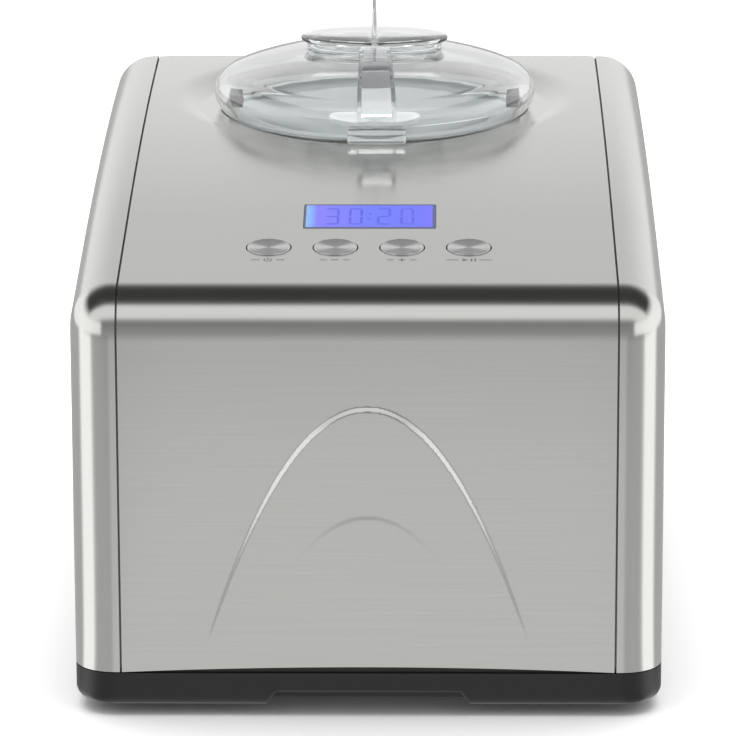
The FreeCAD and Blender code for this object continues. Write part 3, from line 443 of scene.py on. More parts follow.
MATERIALS = {
    "brushed_steel": brushed("brushed_steel_plain", STEEL_TINT, 0.3, (0.02, 1, 1), along=None),
    "seat_steel": brushed("seat_steel", STEEL_TINT, 0.28, (1, 1, 1), along="Z"),
    "plated_steel": metal("plated_steel", (0.55, 0.56, 0.57), 0.35),
    "black_plastic": plastic("black_plastic", (0.005, 0.005, 0.0055), 0.4),
    "grey_plastic": plastic("grey_plastic", (0.22, 0.225, 0.235), 0.4),
    "clear_plastic": clear("clear_plastic", (0.985, 0.99, 0.99), 0.03),
    "white_plastic": plastic("white_plastic", (0.74, 0.76, 0.77), 0.35, spread=0.03),
    "gear_plastic": plastic("gear_plastic", (0.80, 0.77, 0.68), 0.4, spread=0.05),
    "rubber": plastic("rubber", (0.015, 0.015, 0.015), 0.75, grain=900, bump=0.00006),
    "seal": plastic("seal", (0.62, 0.64, 0.65), 0.45, spread=0.03),
    "aluminium": metal("aluminium", (0.77, 0.775, 0.78), 0.3, stretch=(1, 1, 0.1)),
    "fin_aluminium": metal("fin_aluminium", (0.75, 0.76, 0.77), 0.35),
    "copper": metal("copper", (0.80, 0.42, 0.28), 0.3),
    "coil_copper": metal("coil_copper", (0.80, 0.42, 0.28), 0.32),
    "foam": plastic("foam", (0.72, 0.63, 0.40), 0.9, grain=500, bump=0.0004, spread=0.15),
    "black_enamel": plastic("black_enamel", (0.012, 0.012, 0.013), 0.22, grain=120, bump=0.00003),
    "die_cast": metal("die_cast", (0.55, 0.56, 0.57), 0.5, grain=1200, bump=0.00005),
    "hard_steel": metal("hard_steel", (0.62, 0.62, 0.63), 0.2, stretch=(1, 1, 0.05)),
    "bearing_steel": metal("bearing_steel", (0.68, 0.68, 0.69), 0.15),
    "stator_steel": metal("stator_steel", (0.28, 0.28, 0.30), 0.45, stretch=(0.05, 0.05, 3)),
    "button_metal": metal("button_metal", (0.80, 0.80, 0.80), 0.25),
    "display_glass": plastic("display_glass", (0.05, 0.05, 0.2), 0.1),
    "display_body": plastic("display_body", (0.03, 0.03, 0.035), 0.5),
    "circuit_board": plastic("circuit_board", (0.02, 0.16, 0.07), 0.45, grain=300, bump=0.00003),
}

BOWL_COLOR = (0.80, 0.825, 0.83)
# Darker colour on the bowl's rim: painted shade.
BOWL_RIM_SHADE_COLOR = (0.42, 0.44, 0.445)
# Heights in metres between which the bowl's own colour turns into the painted shade on the rim.
BOWL_RIM_SHADE_HEIGHTS = (0.2335, 0.2355)


def bowl_metal_painted_rim_shade():
    """Satin anodised inside and out, with painted shade darkening the rim."""
    look = Look("bowl_metal_painted_rim_shade", BOWL_COLOR, 0.3, 0.3)
    mix = look.node("ShaderNodeMix", data_type="RGBA")
    mix.inputs[6].default_value = (*BOWL_COLOR, 1)
    # The rim colour is painted shade.
    mix.inputs[7].default_value = (*BOWL_RIM_SHADE_COLOR, 1)
    look.link(look.along("Z", *BOWL_RIM_SHADE_HEIGHTS), mix.inputs[0])
    look.link(mix.outputs[2], look.shader.inputs["Base Color"])
    look.vary_roughness(look.noise(60, 3), 0.15)
    look.bump(look.noise(700, 4, (1, 1, 0.1)), 0.00001)
    return look.material


for entry in frame["record"]["subparts"]:
    target = frame["nodes"][entry["node"]]
    target.data.materials.clear()
    target.data.materials.append(MATERIALS[entry["material_slot"]])
frame["nodes"]["bowl"].data.materials[0] = bowl_metal_painted_rim_shade()

# ---------- the housing's outline


def outline_samples(z_low_front, z_low_rear, bend_steps=24, deck_step=6.0):
    """Points down the housing's side profile, front bottom to rear bottom: (y, z, ny, nz, s)."""
    spots = []
    for z in np.linspace(z_low_front, BEND_Z, 14):
        spots.append((FRONT_Y, z, -1.0, 0.0))
    for i in range(1, bend_steps + 1):
        angle = math.pi - (math.pi / 2 - DECK_SLOPE) * i / bend_steps
        spots.append((BEND_Y + BEND * math.cos(angle), BEND_Z + BEND * math.sin(angle),
                      math.cos(angle), math.sin(angle)))
    deck_count = int((DECK_CENTRE_Y - LINE_START_Y) / deck_step)
    for y in np.linspace(LINE_START_Y, DECK_CENTRE_Y, deck_count)[1:]:
        z, lean = deck_height(y)
        spots.append((y, z, -math.sin(lean), math.cos(lean)))
    for i in range(1, bend_steps + 1):
        angle = math.pi / 2 * (1 - i / bend_steps)
        spots.append((DECK_CENTRE_Y + REAR_BEND * math.cos(angle),
                      DECK_TOP - REAR_BEND + REAR_BEND * math.sin(angle), math.cos(angle), math.sin(angle)))
    for z in np.linspace(DECK_TOP - REAR_BEND, z_low_rear, 14)[1:]:
        spots.append((REAR_Y, z, 1.0, 0.0))
    run = 0.0
    out = []
    for i, spot in enumerate(spots):
        if i:
            run += math.hypot(spot[0] - spots[i - 1][0], spot[1] - spots[i - 1][1])
        out.append((*spot, run))
    return out


# ---------- pressed arches in the front

ARCHES = (
    {"top": 154.9, "fade": 124.0, "height": 1.45, "step": 2.5, "power": 0.8},
    {"top": 100.9, "fade": 42.0, "height": 0.26, "step": 2.4, "power": 1.2},
)
ARCH_SPREAD = 7.55
ARCH_POWER = 2.045
EDGE_RISE = 2.7
EDGE_HALF = 119.0
FRONT_COLUMNS = 321
FRONT_ROWS = 261


def arch_height(x, z):
    """How far the pressed arches stand out of the front panel."""
    total = np.zeros_like(x)
    across = np.abs(x) / ARCH_SPREAD
    slope = np.hypot(1, ARCH_POWER / ARCH_SPREAD * across ** (ARCH_POWER - 1))
    for arch in ARCHES:
        inside = (arch["top"] - z - across ** ARCH_POWER) / slope
        fade = np.clip(1 - (arch["top"] - z) / arch["fade"], 0, 1) ** arch["power"]
        narrow = 0.4 + 0.6 * fade
        t = np.clip(inside / (arch["step"] * narrow) + 0.5, 0, 1)
        ramp = 0.8 * t + 0.2 * t * t * (3 - 2 * t)
        total += arch["height"] * fade * ramp
    return total


def front_bottom(x):
    """The steel's lower edge on the front, arched a little."""
    return STEEL_BOTTOM + EDGE_RISE * (1 - (x / EDGE_HALF) ** 2)


def add_front(skin):
    """The upright front, with the arches pressed into it."""
    xs = np.linspace(-(SEAM - SEAM_GAP / 2), SEAM - SEAM_GAP / 2, FRONT_COLUMNS)
    ts = np.linspace(0, 1, FRONT_ROWS)
    grid_x, grid_t = np.meshgrid(xs, ts)
    low = front_bottom(grid_x)
    grid_z = low + (BEND_Z - low) * grid_t
    rise = arch_height(grid_x, grid_z)
    eps = SLOPE_STEP
    slope_x = (arch_height(grid_x + eps, grid_z) - arch_height(grid_x - eps, grid_z)) / (2 * eps)
    slope_z = (arch_height(grid_x, grid_z + eps) - arch_height(grid_x, grid_z - eps)) / (2 * eps)
    length = np.sqrt(slope_x ** 2 + slope_z ** 2 + 1)
    rows = []
    for r in range(len(ts)):
        row = []
        for c in range(len(xs)):
            x, z = grid_x[r, c], grid_z[r, c]
            normal = (-slope_x[r, c] / length[r, c], -1 / length[r, c], -slope_z[r, c] / length[r, c])
            row.append(((x, FRONT_Y - rise[r, c], z), normal, (z * UV_SCALE, x * UV_SCALE)))
        rows.append(row)
    skin.grid(rows)
    skin.lip([(item[0], item[1]) for item in rows[0]], SHEET, closed=False)


def add_strip(skin, samples, x_low, x_high):
    """The part of the profile that is straight across, as long quads."""
    rows = []
    for y, z, ny, nz, run in samples:
        rows.append([((x, y, z), (0, ny, nz), (run * UV_SCALE, x * UV_SCALE)) for x in (x_low, x_high)])
    skin.grid(rows)


def circle_loop(x, y, radius, squash, count):
    """A circle's outline, shortened in depth by squash."""
    return [(x + radius * math.cos(TAU * i / count), y + radius * squash * math.sin(TAU * i / count))
            for i in range(count)]


def deck_loops():
    """Openings in the deck, as plan outlines."""
    lean = math.cos(DECK_SLOPE)
    loops = [circle_loop(0, LID_Y, HOLE, 1, RING_STEPS)]
    for i in range(4):
        loops.append(circle_loop((i - 1.5) * BUTTON_PITCH, PANEL_Y, BUTTON_HOLE, lean, 48))
    half_w = WINDOW[0] / 2
    y0 = PANEL_Y + (WINDOW_CENTRE - WINDOW[1] / 2) * lean
    y1 = PANEL_Y + (WINDOW_CENTRE + WINDOW[1] / 2) * lean
    loops.append(rounded_rectangle(-half_w, y0, half_w, y1, 1.2))
    return loops


def rounded_rectangle(x0, y0, x1, y1, radius, steps=5):
    loop = []
    for cx, cy, start in ((x1 - radius, y1 - radius, 0), (x0 + radius, y1 - radius, 90),
                          (x0 + radius, y0 + radius, 180), (x1 - radius, y0 + radius, 270)):
        for i in range(steps + 1):
            angle = math.radians(start + 90 * i / steps)
            loop.append((cx + radius * math.cos(angle), cy + radius * math.sin(angle)))
    return loop


def inside_loop(point, loop):
    """Whether a point lies inside an outline."""
    x, y = point
    hit = False
    for i in range(len(loop)):
        (x1, y1), (x2, y2) = loop[i], loop[i - 1]
        if (y1 > y) != (y2 > y) and x < (x2 - x1) * (y - y1) / (y2 - y1) + x1:
            hit = not hit
    return hit


def fill(outer, holes, spacing, extra=(), skip=None):
    """Triangles over a plan region with holes, fine enough to bend."""
    points = []
    edges = []
    for loop in [outer, *holes]:
        start = len(points)
        points.extend(loop)
        edges.extend([(start + i, start + (i + 1) % len(loop)) for i in range(len(loop))])
    x0, x1 = min(p[0] for p in outer), max(p[0] for p in outer)
    y0, y1 = min(p[1] for p in outer), max(p[1] for p in outer)
    inner = [(float(x), float(y)) for x in np.arange(x0 + spacing[0] / 2, x1, spacing[0])
             for y in np.arange(y0 + spacing[1] / 2, y1, spacing[1]) if not (skip and skip(x, y))]
    for point in [*inner, *extra]:
        if inside_loop(point, outer) and not any(inside_loop(point, hole) for hole in holes):
            points.append(point)
    result = delaunay_2d_cdt([Vector(p) for p in points], edges, [], 0, 1e-4)
    verts, _, triangles = result[0], result[1], result[2]
    kept = []
    for triangle in triangles:
        centre = sum((verts[i] for i in triangle), Vector((0, 0))) / 3
        if inside_loop(centre, outer) and not any(inside_loop(centre, hole) for hole in holes):
            kept.append(list(triangle))
    return [(v.x, v.y) for v in verts], kept


DISH_RINGS = (83, 85.5, 88, 89.6, 90.4, 90.9, 91.2, 91.6, 92.0, 92.6, 93.6, 95, 96.5, 98, 99.5, 101, 102.5,
              104, 106, 108.5, 111, 114)
RING_STEPS = 200
DECK_EDGE_STEPS = 80
DECK_SPACING = (12, 6)
REAR_EDGE = 214.0
DECK_BACK = DECK_CENTRE_Y + REAR_BEND * math.sin(math.radians(36))


def lower_of(a, b, blend):
    """The lower of two heights, rounded where they meet."""
    share = max(blend - abs(a - b), 0) / blend
    return min(a, b) - share * share * blend / 4


def surface_height(x, y):
    """Height of the deck with the round dish pressed into it."""
    out = math.hypot(x, y - LID_Y) - CREASE
    ramp = 0.5 * (out + math.sqrt(out * out + 0.25))
    return lower_of(deck_height(y)[0], DISH_Z + DISH_SLOPE * ramp, 1.2)


def deck_point(x, y):
    """A point on the deck with its normal."""
    step = SLOPE_STEP
    slope_x = (surface_height(x + step, y) - surface_height(x - step, y)) / (2 * step)
    slope_y = (surface_height(x, y + step) - surface_height(x, y - step)) / (2 * step)
    size = math.sqrt(slope_x ** 2 + slope_y ** 2 + 1)
    return (x, y, surface_height(x, y)), (-slope_x / size, -slope_y / size, 1 / size)


def near_dish(x, y):
    """Whether the rings round the dish take the place of the even spacing."""
    return math.hypot(x, y - LID_Y) < DISH_RINGS[-1] + 2


def add_deck(skin):
    """The deck, with its dish and its openings."""
    edge = SEAM - SEAM_GAP / 2
    side = list(np.linspace(LINE_START_Y, DECK_BACK, DECK_EDGE_STEPS))
    outer = [(-edge, y) for y in side[::-1]] + [(edge, y) for y in side]
    loops = deck_loops()
    rings = [spot for radius in DISH_RINGS for spot in circle_loop(0, LID_Y, radius, 1, RING_STEPS)]
    plan, triangles = fill(outer, loops, DECK_SPACING, rings, near_dish)
    spots = [deck_point(x, y) for x, y in plan]
    skin.add([s[0] for s in spots], [s[1] for s in spots],
             [(y * UV_SCALE, x * UV_SCALE) for x, y in plan], triangles)
    for loop in loops:
        skin.lip([deck_point(x, y) for x, y in loop][::-1], SHEET)


def make_centre_panel():
    skin = Skin()
    add_front(skin)
    samples = outline_samples(STEEL_BOTTOM, REAR_EDGE)
    edge = SEAM - SEAM_GAP / 2
    front_bend = [s for s in samples if s[1] >= BEND_Z - TINY and s[0] <= LINE_START_Y + TINY]
    rear_bend = [s for s in samples if s[0] >= DECK_BACK - TINY]
    add_strip(skin, front_bend, -edge, edge)
    add_deck(skin)
    add_strip(skin, rear_bend, -edge, edge)
    for x in (-edge, edge):
        line = [((x, y, z), (0, ny, nz)) for y, z, ny, nz, _ in samples]
        skin.lip(line if x < 0 else line[::-1], SHEET, closed=False)
    return skin.build("center_panel_skin")


# ---------- side panels

VENTS = [(-186 + 9 * i, 45, -182 + 9 * i, 125) for i in range(13)]


def make_side_panel(name, sign):
    skin = Skin()
    samples = outline_samples(STEEL_BOTTOM, STEEL_BOTTOM)
    near = SEAM + SEAM_GAP / 2
    flat = HALF_WIDTH - SIDE_BEND
    rows = []
    steps = 18
    for y, z, ny, nz, run in samples:
        row = [((sign * near, y, z), (0, ny, nz), (run * UV_SCALE, 0.0))]
        for i in range(steps + 1):
            angle = math.pi / 2 * i / steps
            inset = SIDE_BEND * (1 - math.cos(angle))
            across = flat + SIDE_BEND * math.sin(angle)
            normal = (sign * math.sin(angle), ny * math.cos(angle), nz * math.cos(angle))
            around = (flat - near + SIDE_BEND * angle) * UV_SCALE
            row.append(((sign * across, y - ny * inset, z - nz * inset), normal, (run * UV_SCALE, around)))
        rows.append(row)
    skin.grid(rows)
    edge_line = [(y - ny * SIDE_BEND, z - nz * SIDE_BEND) for y, z, ny, nz, _ in samples]
    add_side_face(skin, sign, edge_line)
    line = [(row[0][0], row[0][1]) for row in rows]
    skin.lip(line[::-1] if sign > 0 else line, SHEET, closed=False)
    return skin.build(name)


def add_side_face(skin, sign, outer):
    clean = [outer[0]]
    for spot in outer[1:]:
        if math.hypot(spot[0] - clean[-1][0], spot[1] - clean[-1][1]) > 0.3:
            clean.append(spot)
    holes = [rounded_rectangle(y0, z0, y1, z1, 1.9, 4) for y0, z0, y1, z1 in VENTS]
    plan, triangles = fill(clean, holes, (40, 40))
    x = sign * HALF_WIDTH
    skin.add([(x, a, b) for a, b in plan], [(sign, 0, 0)] * len(plan),
             [(b * UV_SCALE, a * UV_SCALE) for a, b in plan], triangles)
    for hole in holes:
        loop = [((x, a, b), (sign, 0, 0)) for a, b in hole]
        skin.lip(loop if sign < 0 else loop[::-1], SHEET)


FLANGE_DEPTH = 1.35
FLANGE_EDGES = (112, 121)


def seam_flange(name, sign):
    """The joggled strip under the seam; its dark grey is painted shade in the gap."""
    skin = Skin()
    rows = []
    for y, z, ny, nz, run in outline_samples(STEEL_BOTTOM + 2, STEEL_BOTTOM + 2):
        low_y, low_z = y - ny * FLANGE_DEPTH, z - nz * FLANGE_DEPTH
        rows.append([((sign * x, low_y, low_z), (0, ny, nz), (run * UV_SCALE, x * UV_SCALE))
                     for x in FLANGE_EDGES])
    skin.grid(rows)
    return skin.build(name)


FRONT_STEEL = brushed("front_steel", STEEL_TINT, 0.17, (0.015, 1, 1))
SIDE_STEEL = brushed("side_steel", STEEL_TINT, 0.17, (1, 0.015, 1))
# Dark grey on the flange is painted shade seen through the seam gap.
SHADOW_STEEL = metal("shadow_steel", (0.16, 0.16, 0.16), 0.5)


def dress(obj, material, body, slot, *replaced):
    """Give a piece its material, its body and the CAD nodes it stands for."""
    obj.data.materials.clear()
    obj.data.materials.append(material)
    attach(obj, body)
    if replaced:
        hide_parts(*replaced)
    return obj


dress(make_centre_panel(), FRONT_STEEL, "housing", "brushed_steel", "center_panel")
for label, side in (("left", -1), ("right", 1)):
    dress(make_side_panel(label + "_side_skin", side), SIDE_STEEL, "housing", "brushed_steel",
          label + "_side_panel")
    dress(seam_flange(label + "_seam_flange", side), SHADOW_STEEL, "housing", "brushed_steel")

# ---------- lip round the finger recess in the tray

TRAY_FOOT = 5.0
TRAY_ROUND = 6.0
RECESS_HALF = 50.5
RECESS_TOP = 13.1
RECESS_SLANT = 5.5
LIP = 0.5
LIP_START = 0.6
LIP_SINK = 0.15


def tray_front(z):
    """Depth of the tray's front face, which curls under at the bottom."""
    below = max(TRAY_FOOT + TRAY_ROUND - z, 0)
    return FRONT_Y + TRAY_ROUND - math.sqrt(TRAY_ROUND ** 2 - below ** 2)


def make_recess_lip():
    """A thin moulded bead that follows the recess."""
    path = []
    for i in range(13):
        share = i / 12
        z = TRAY_FOOT + LIP_START + (RECESS_TOP - TRAY_FOOT - LIP_START) * share
        path.append((-RECESS_HALF + RECESS_SLANT * share, z))
    path += [(x, RECESS_TOP) for x in np.linspace(-RECESS_HALF + RECESS_SLANT + 2, 0, 12)]
    path += [(-x, z) for x, z in path[-2::-1]]
    verts = []
    faces = []
    sides = 10
    for index, (x, z) in enumerate(path):
        before = path[max(index - 1, 0)]
        after = path[min(index + 1, len(path) - 1)]
        run = math.hypot(after[0] - before[0], after[1] - before[1])
        up = (-(after[1] - before[1]) / run, (after[0] - before[0]) / run)
        for side in range(sides):
            angle = TAU * side / sides
            rise = LIP * math.cos(angle)
            depth = tray_front(z) + LIP_SINK - LIP * math.sin(angle)
            verts.append((x + up[0] * rise, depth, z + up[1] * rise))
    for index in range(len(path) - 1):
        for side in range(sides):
            a = index * sides + side
            b = index * sides + (side + 1) % sides
            faces.append([a, b, b + sides, a + sides])
    faces.append(list(range(sides)))
    faces.append([len(verts) - 1 - i for i in range(sides)])
    return solid("recess_lip", verts, faces)


# The bead's black is lighter than the tray's: a painted highlight along the recess edge, on top of the real
# highlight that the round bead catches.
LIP_HIGHLIGHT_PLASTIC = plastic("lip_plastic_painted_highlight", (0.022, 0.022, 0.023), 0.3)
dress(make_recess_lip(), LIP_HIGHLIGHT_PLASTIC, "housing", "black_plastic")

# ---------- clear lid and filler cap

DOME = ((80.2, 235.5), (81.8, 237.8), (83.3, 240.4), (84.2, 242.8), (84.5, 245.5), (84.2, 248.2),
        (83.3, 250.6), (82, 252.6), (80, 254.5), (77, 256.4), (73, 258.1), (68, 259.9), (62, 261.8),
        (55, 263.7), (48, 265.3), (41, 266.6), (34, 267.6), (22, 268.6), (0, 269))
LID_FOOT = 232.0
LID_WALL = 2.4
NECK = (35.4, 22.5)
NECK_BOTTOM = 258.9
NECK_TOP = 272.0
RIB = ((-21, 271.8), (-24.3, 271.8), (-24.8, 273.8), (-35, 273.3), (-52, 270.2), (-68, 265.8),
       (-80, 258.8), (-86.3, 250.4), (-86.6, 246), (-82.5, 246), (-76, 252), (-60, 258), (-21, 262))
CHANNEL = ((-27, 271.3), (-35, 271), (-51.4, 267.9), (-66.8, 263.7), (-77.8, 257.4), (-83, 250.2),
           (-80, 246), (-60, 250), (-27, 254))
CHANNEL_WALL = 2.3
# The rib's half width at its rear end and its front end, and how far those lie from the lid's axis.
RIB_HALF = (7.7, 10.3)
RIB_ENDS = (18, 92)
RIB_TURN = math.radians(1.4)
CAP = (38.6, 24.0)
CAP_TOP = 274.7
FIN_HEIGHT = 24.0
FIN_LENGTH = 41.0
FIN_ARC = 34.0
FIN_HALF = (1.3, 0.5)
TAB_HALF = 15
TAB_DEPTH = (-90.3, -81.5)
TAB_LEVELS = (235.8, 244.2)
BORE_LEVELS = (250, 290)
BORE_WALL = 2


def turned_rib(x, y, z):
    """A point on the rib's frame, which is turned a little about the lid's axis."""
    return over_lid(x * math.cos(RIB_TURN) - y * math.sin(RIB_TURN),
                    x * math.sin(RIB_TURN) + y * math.cos(RIB_TURN), z)


def inward(outline, wall):
    """An outline moved square to itself by a wall thickness."""
    moved = []
    for index, (across, up) in enumerate(outline):
        before = outline[max(index - 1, 0)]
        after = outline[min(index + 1, len(outline) - 1)]
        run = math.hypot(after[0] - before[0], after[1] - before[1])
        moved.append((max(across - wall * (after[1] - before[1]) / run, 0),
                      up + wall * (after[0] - before[0]) / run))
    return moved


def rib_block(name, outline, inset):
    """A block with the rib's side outline, wider towards the front."""
    def place(y, z, side):
        share = (-RIB_ENDS[0] - y) / (RIB_ENDS[1] - RIB_ENDS[0])
        half = RIB_HALF[0] + (RIB_HALF[1] - RIB_HALF[0]) * share - inset
        return turned_rib(side * half, y, z)
    return extrude(name, outline, -1, 1, place)


def make_lid():
    """The dome with its hollow rib, front tab and filler neck, as one clear shell."""
    line = smooth_path(DOME, 4)
    line[-1] = (0.0, line[-1][1])
    hollow = inward(line, LID_WALL)
    hollow[-1] = (0.0, hollow[-1][1])
    rim = DOME[0][0]
    dome = lathe("dome", [(0, LID_FOOT), (rim - 0.5, LID_FOOT), (rim, LID_FOOT + 0.5), *line],
                 closed=False, segments=160)
    rib = rounded(rib_block("rib", RIB, 0), 1.0)
    front, back = TAB_DEPTH
    corners = [(-TAB_HALF, front), (TAB_HALF, front), (TAB_HALF, back), (-TAB_HALF, back)]
    tab = rounded(extrude("tab", corners, *TAB_LEVELS, turned_rib), 1.6)
    inner = lathe("inner", [(0, LID_FOOT - 2), (rim - LID_WALL, LID_FOOT - 2), *hollow],
                  closed=False, segments=160)
    outer = joined("outer", dome, [rib, tab])
    channel = rib_block("channel", CHANNEL, CHANNEL_WALL)
    shell = joined("shell", outer, [inner, channel], "DIFFERENCE")
    width, depth = NECK
    neck = lathe("neck", [(0, NECK_BOTTOM), (width - 0.5, NECK_BOTTOM), (width, NECK_BOTTOM + 0.5),
                          (width, NECK_TOP - 0.6), (width - 0.6, NECK_TOP), (0, NECK_TOP)],
                 closed=False, oval=width - depth)
    low, high = BORE_LEVELS
    inside = width - BORE_WALL
    bore = lathe("bore", [(0, low), (inside, low), (inside, high), (0, high)],
                 closed=False, oval=width - depth)
    return joined("lid_clear", joined("with_neck", shell, [neck]), [bore], "DIFFERENCE")


def make_cap():
    """The filler cap: an oval disc with a skirt below and a fin to hold."""
    width, depth = CAP
    squash = width - depth
    under = NECK_TOP + 0.2
    disc = lathe("disc", [(0, under), (width - 0.5, under), (width, under + 0.6), (width, CAP_TOP - 1.0),
                          (width - 0.3, CAP_TOP - 0.3), (width - 1.0, CAP_TOP), (0, CAP_TOP)],
                 closed=False, oval=squash)
    skirt_out = NECK[0] - 3.8
    skirt_in = NECK[0] - 6
    low = under - 9.7
    high = under + 0.3
    skirt = lathe("skirt", [(skirt_out, low), (skirt_out, high), (skirt_in, high), (skirt_in, low)],
                  oval=NECK[0] - NECK[1])
    half = FIN_LENGTH / 2
    outline = [(-half, CAP_TOP - 0.5), (half, CAP_TOP - 0.5)]
    top = CAP_TOP + FIN_HEIGHT
    for i in range(25):
        y = half - FIN_LENGTH * i / 24
        outline.append((y, top - FIN_ARC + math.sqrt(FIN_ARC ** 2 - y ** 2)))

    def place(y, z, side):
        half_thick = FIN_HALF[0] - (FIN_HALF[0] - FIN_HALF[1]) * (z - CAP_TOP) / FIN_HEIGHT
        return over_lid(side * half_thick, y, z)
    fin = rounded(extrude("fin", outline, -1, 1, place), 0.35)
    return joined("cap_clear", disc, [skirt, fin])


LID_PLASTIC = clear("lid_plastic", (0.975, 0.985, 0.985), 0.02)
dress(make_lid(), LID_PLASTIC, "lid", "clear_plastic", "lid_dome")
dress(make_cap(), LID_PLASTIC, "filler_cap", "clear_plastic", "filler_cap")

# ---------- buttons, display and printed marks

BUTTON = 10.5
BUTTON_OUTLINE = ((0, 0.22), (2.5, 0.24), (5, 0.33), (7.5, 0.48), (9, 0.63), (9.4, 0.72), (9.85, 0.79),
                  (10.2, 0.7), (10.42, 0.45), (BUTTON, 0.1), (BUTTON, -2.3), (11.8, -2.3), (11.8, -3.3),
                  (3.0, -3.3), (3.0, -9.6), (0, -9.6))
BUTTONS = ("button_power", "button_less", "button_more", "button_start")
SPUN = brushed("spun_metal", (0.72, 0.72, 0.72), 0.42, (1, 1, 1), anisotropic=0.95)
MARK = plastic("printed_mark", (0.10, 0.10, 0.105), 0.5, spread=0.05)
MARK_Y = -16.4


def button_x(index):
    return (index - 1.5) * BUTTON_PITCH


def make_button(index):
    def place(x, y, z):
        return on_panel(x + button_x(index), y, z)
    return lathe(BUTTONS[index] + "_cap", list(BUTTON_OUTLINE), place, 96, 50, closed=False)


def panel_slab(name, outline, low, high):
    return extrude(name, outline, low, high, on_panel)


def ring_outline(x, y, outer, inner, start, end, steps=24):
    """An open ring drawn as one outline."""
    angles = [math.radians(start + (end - start) * i / steps) for i in range(steps + 1)]
    spots = [(x + outer * math.cos(a), y + outer * math.sin(a)) for a in angles]
    return spots + [(x + inner * math.cos(a), y + inner * math.sin(a)) for a in angles[::-1]]


def bar(x, y, width, height):
    """A rectangle's outline about its middle."""
    left, right = x - width / 2, x + width / 2
    low, high = y - height / 2, y + height / 2
    return [(left, low), (right, low), (right, high), (left, high)]


def dashes(x, aside, width):
    """A short line on either side of a sign."""
    return [bar(x - aside, MARK_Y, width, 0.6), bar(x + aside, MARK_Y, width, 0.6)]


def make_marks():
    """Plain signs printed under the buttons."""
    power, less, more, start = [button_x(index) for index in range(4)]
    y = MARK_Y
    shapes = [ring_outline(power, y, 2.1, 1.5, -235, 55), bar(power, y + 1.5, 0.7, 2.2),
              *dashes(power, 6, 4), bar(less, y, 3.6, 0.8), *dashes(less, 5.5, 3.2),
              bar(more, y, 3.6, 0.8), bar(more, y + 1.1, 0.8, 1.4), bar(more, y - 1.1, 0.8, 1.4),
              *dashes(more, 5.5, 3.2),
              [(start - 3.2, y - 1.8), (start - 0.4, y), (start - 3.2, y + 1.8)],
              bar(start + 1.2, y, 0.9, 3.4), bar(start + 3.0, y, 0.9, 3.4),
              *dashes(start, 8, 6)]
    for number, shape in enumerate(shapes):
        dress(panel_slab("panel_mark_%02d" % number, shape, -0.02, 0.05), MARK, "housing", "black_plastic")


def screen_look():
    """A back-lit liquid crystal: blue, with the lamp's pale cyan glow at its left end."""
    look = Look("lit_screen", (0.0, 0.0, 0.01), 0.0, 0.2)
    half = WINDOW[0] / 2 * MM
    ramp = look.node("ShaderNodeValToRGB")
    elements = ramp.color_ramp.elements
    stops = ((0.0, (0.20, 0.55, 0.80)), (0.055, (0.18, 0.42, 0.88)), (0.10, (0.17, 0.15, 0.85)),
             (0.5, (0.085, 0.135, 0.90)), (0.9, (0.08, 0.11, 0.86)), (1.0, (0.14, 0.11, 0.85)))
    elements[0].position, elements[0].color = stops[0][0], (*stops[0][1], 1)
    elements[1].position, elements[1].color = stops[-1][0], (*stops[-1][1], 1)
    for position, color in stops[1:-1]:
        elements.new(position).color = (*color, 1)
    look.link(look.along("X", -half, half), ramp.inputs[0])
    mottle = look.node("ShaderNodeMix", data_type="RGBA")
    mottle.inputs[7].default_value = (0.11, 0.09, 0.80, 1)
    look.link(look.ramp(look.noise(220, 3), 0.0, 0.35), mottle.inputs[0])
    look.link(ramp.outputs[0], mottle.inputs[6])
    look.link(mottle.outputs[2], look.shader.inputs["Emission Color"])
    look.shader.inputs["Emission Strength"].default_value = 1.0
    look.vary_roughness(look.noise(300, 2), 0.2)
    return look.material


# The bars that are lit for each figure shown.
SEGMENTS = {"0": "abcdef", "2": "abged", "3": "abgcd"}
FIGURES = "3020"
FIGURE_PITCH = 11.5
COLON_ROOM = 1.2


def digit(name, number, x, y, material):
    """One seven-bar figure."""
    wide, tall, thick = 5.6, 10.5, 1.2
    bars = {"a": (0, tall, wide, thick), "b": (wide / 2, tall / 2, thick, tall - 2),
            "c": (wide / 2, -tall / 2, thick, tall - 2), "d": (0, -tall, wide, thick),
            "e": (-wide / 2, -tall / 2, thick, tall - 2), "f": (-wide / 2, tall / 2, thick, tall - 2),
            "g": (0, 0, wide, thick)}
    for letter in SEGMENTS[number]:
        dx, dy, w, h = bars[letter]
        piece = panel_slab(name + "_" + letter, bar(x + dx, y + dy, w, h), 0.03, 0.07)
        dress(piece, material, "housing", "display_glass")


def make_display():
    half_w = WINDOW[0] / 2 - 0.2
    half_h = WINDOW[1] / 2 - 0.2
    y = WINDOW_CENTRE
    frame_shape = rounded_rectangle(-half_w, y - half_h, half_w, y + half_h, 1.0)
    dress(panel_slab("window_frame", frame_shape, -1.2, 0.02), DARK_GLASS, "housing", "display_glass",
          "display_window")
    lit = rounded_rectangle(-half_w + 1.0, y - half_h + 2.2, half_w - 1.6, y + half_h - 1.5, 0.6)
    dress(panel_slab("lit_screen", lit, 0.0, 0.05), screen_look(), "housing", "display_glass")
    figure = plastic("screen_figure", (0.0, 0.0, 0.01), 0.3, spread=0.05)
    shader = figure.node_tree.nodes["Principled BSDF"]
    shader.inputs["Emission Color"].default_value = (0.05, 0.07, 0.66, 1)
    shader.inputs["Emission Strength"].default_value = 1.0
    for index, number in enumerate(FIGURES):
        aside = COLON_ROOM if index > 1 else -COLON_ROOM
        digit("figure_%d" % index, number, (index - 1.5) * FIGURE_PITCH + aside, y, figure)
    for index, offset in enumerate((-3.4, 3.4)):
        dress(panel_slab("colon_%d" % index, bar(0, y + offset, 1.2, 1.6), 0.03, 0.07), figure, "housing",
              "display_glass")


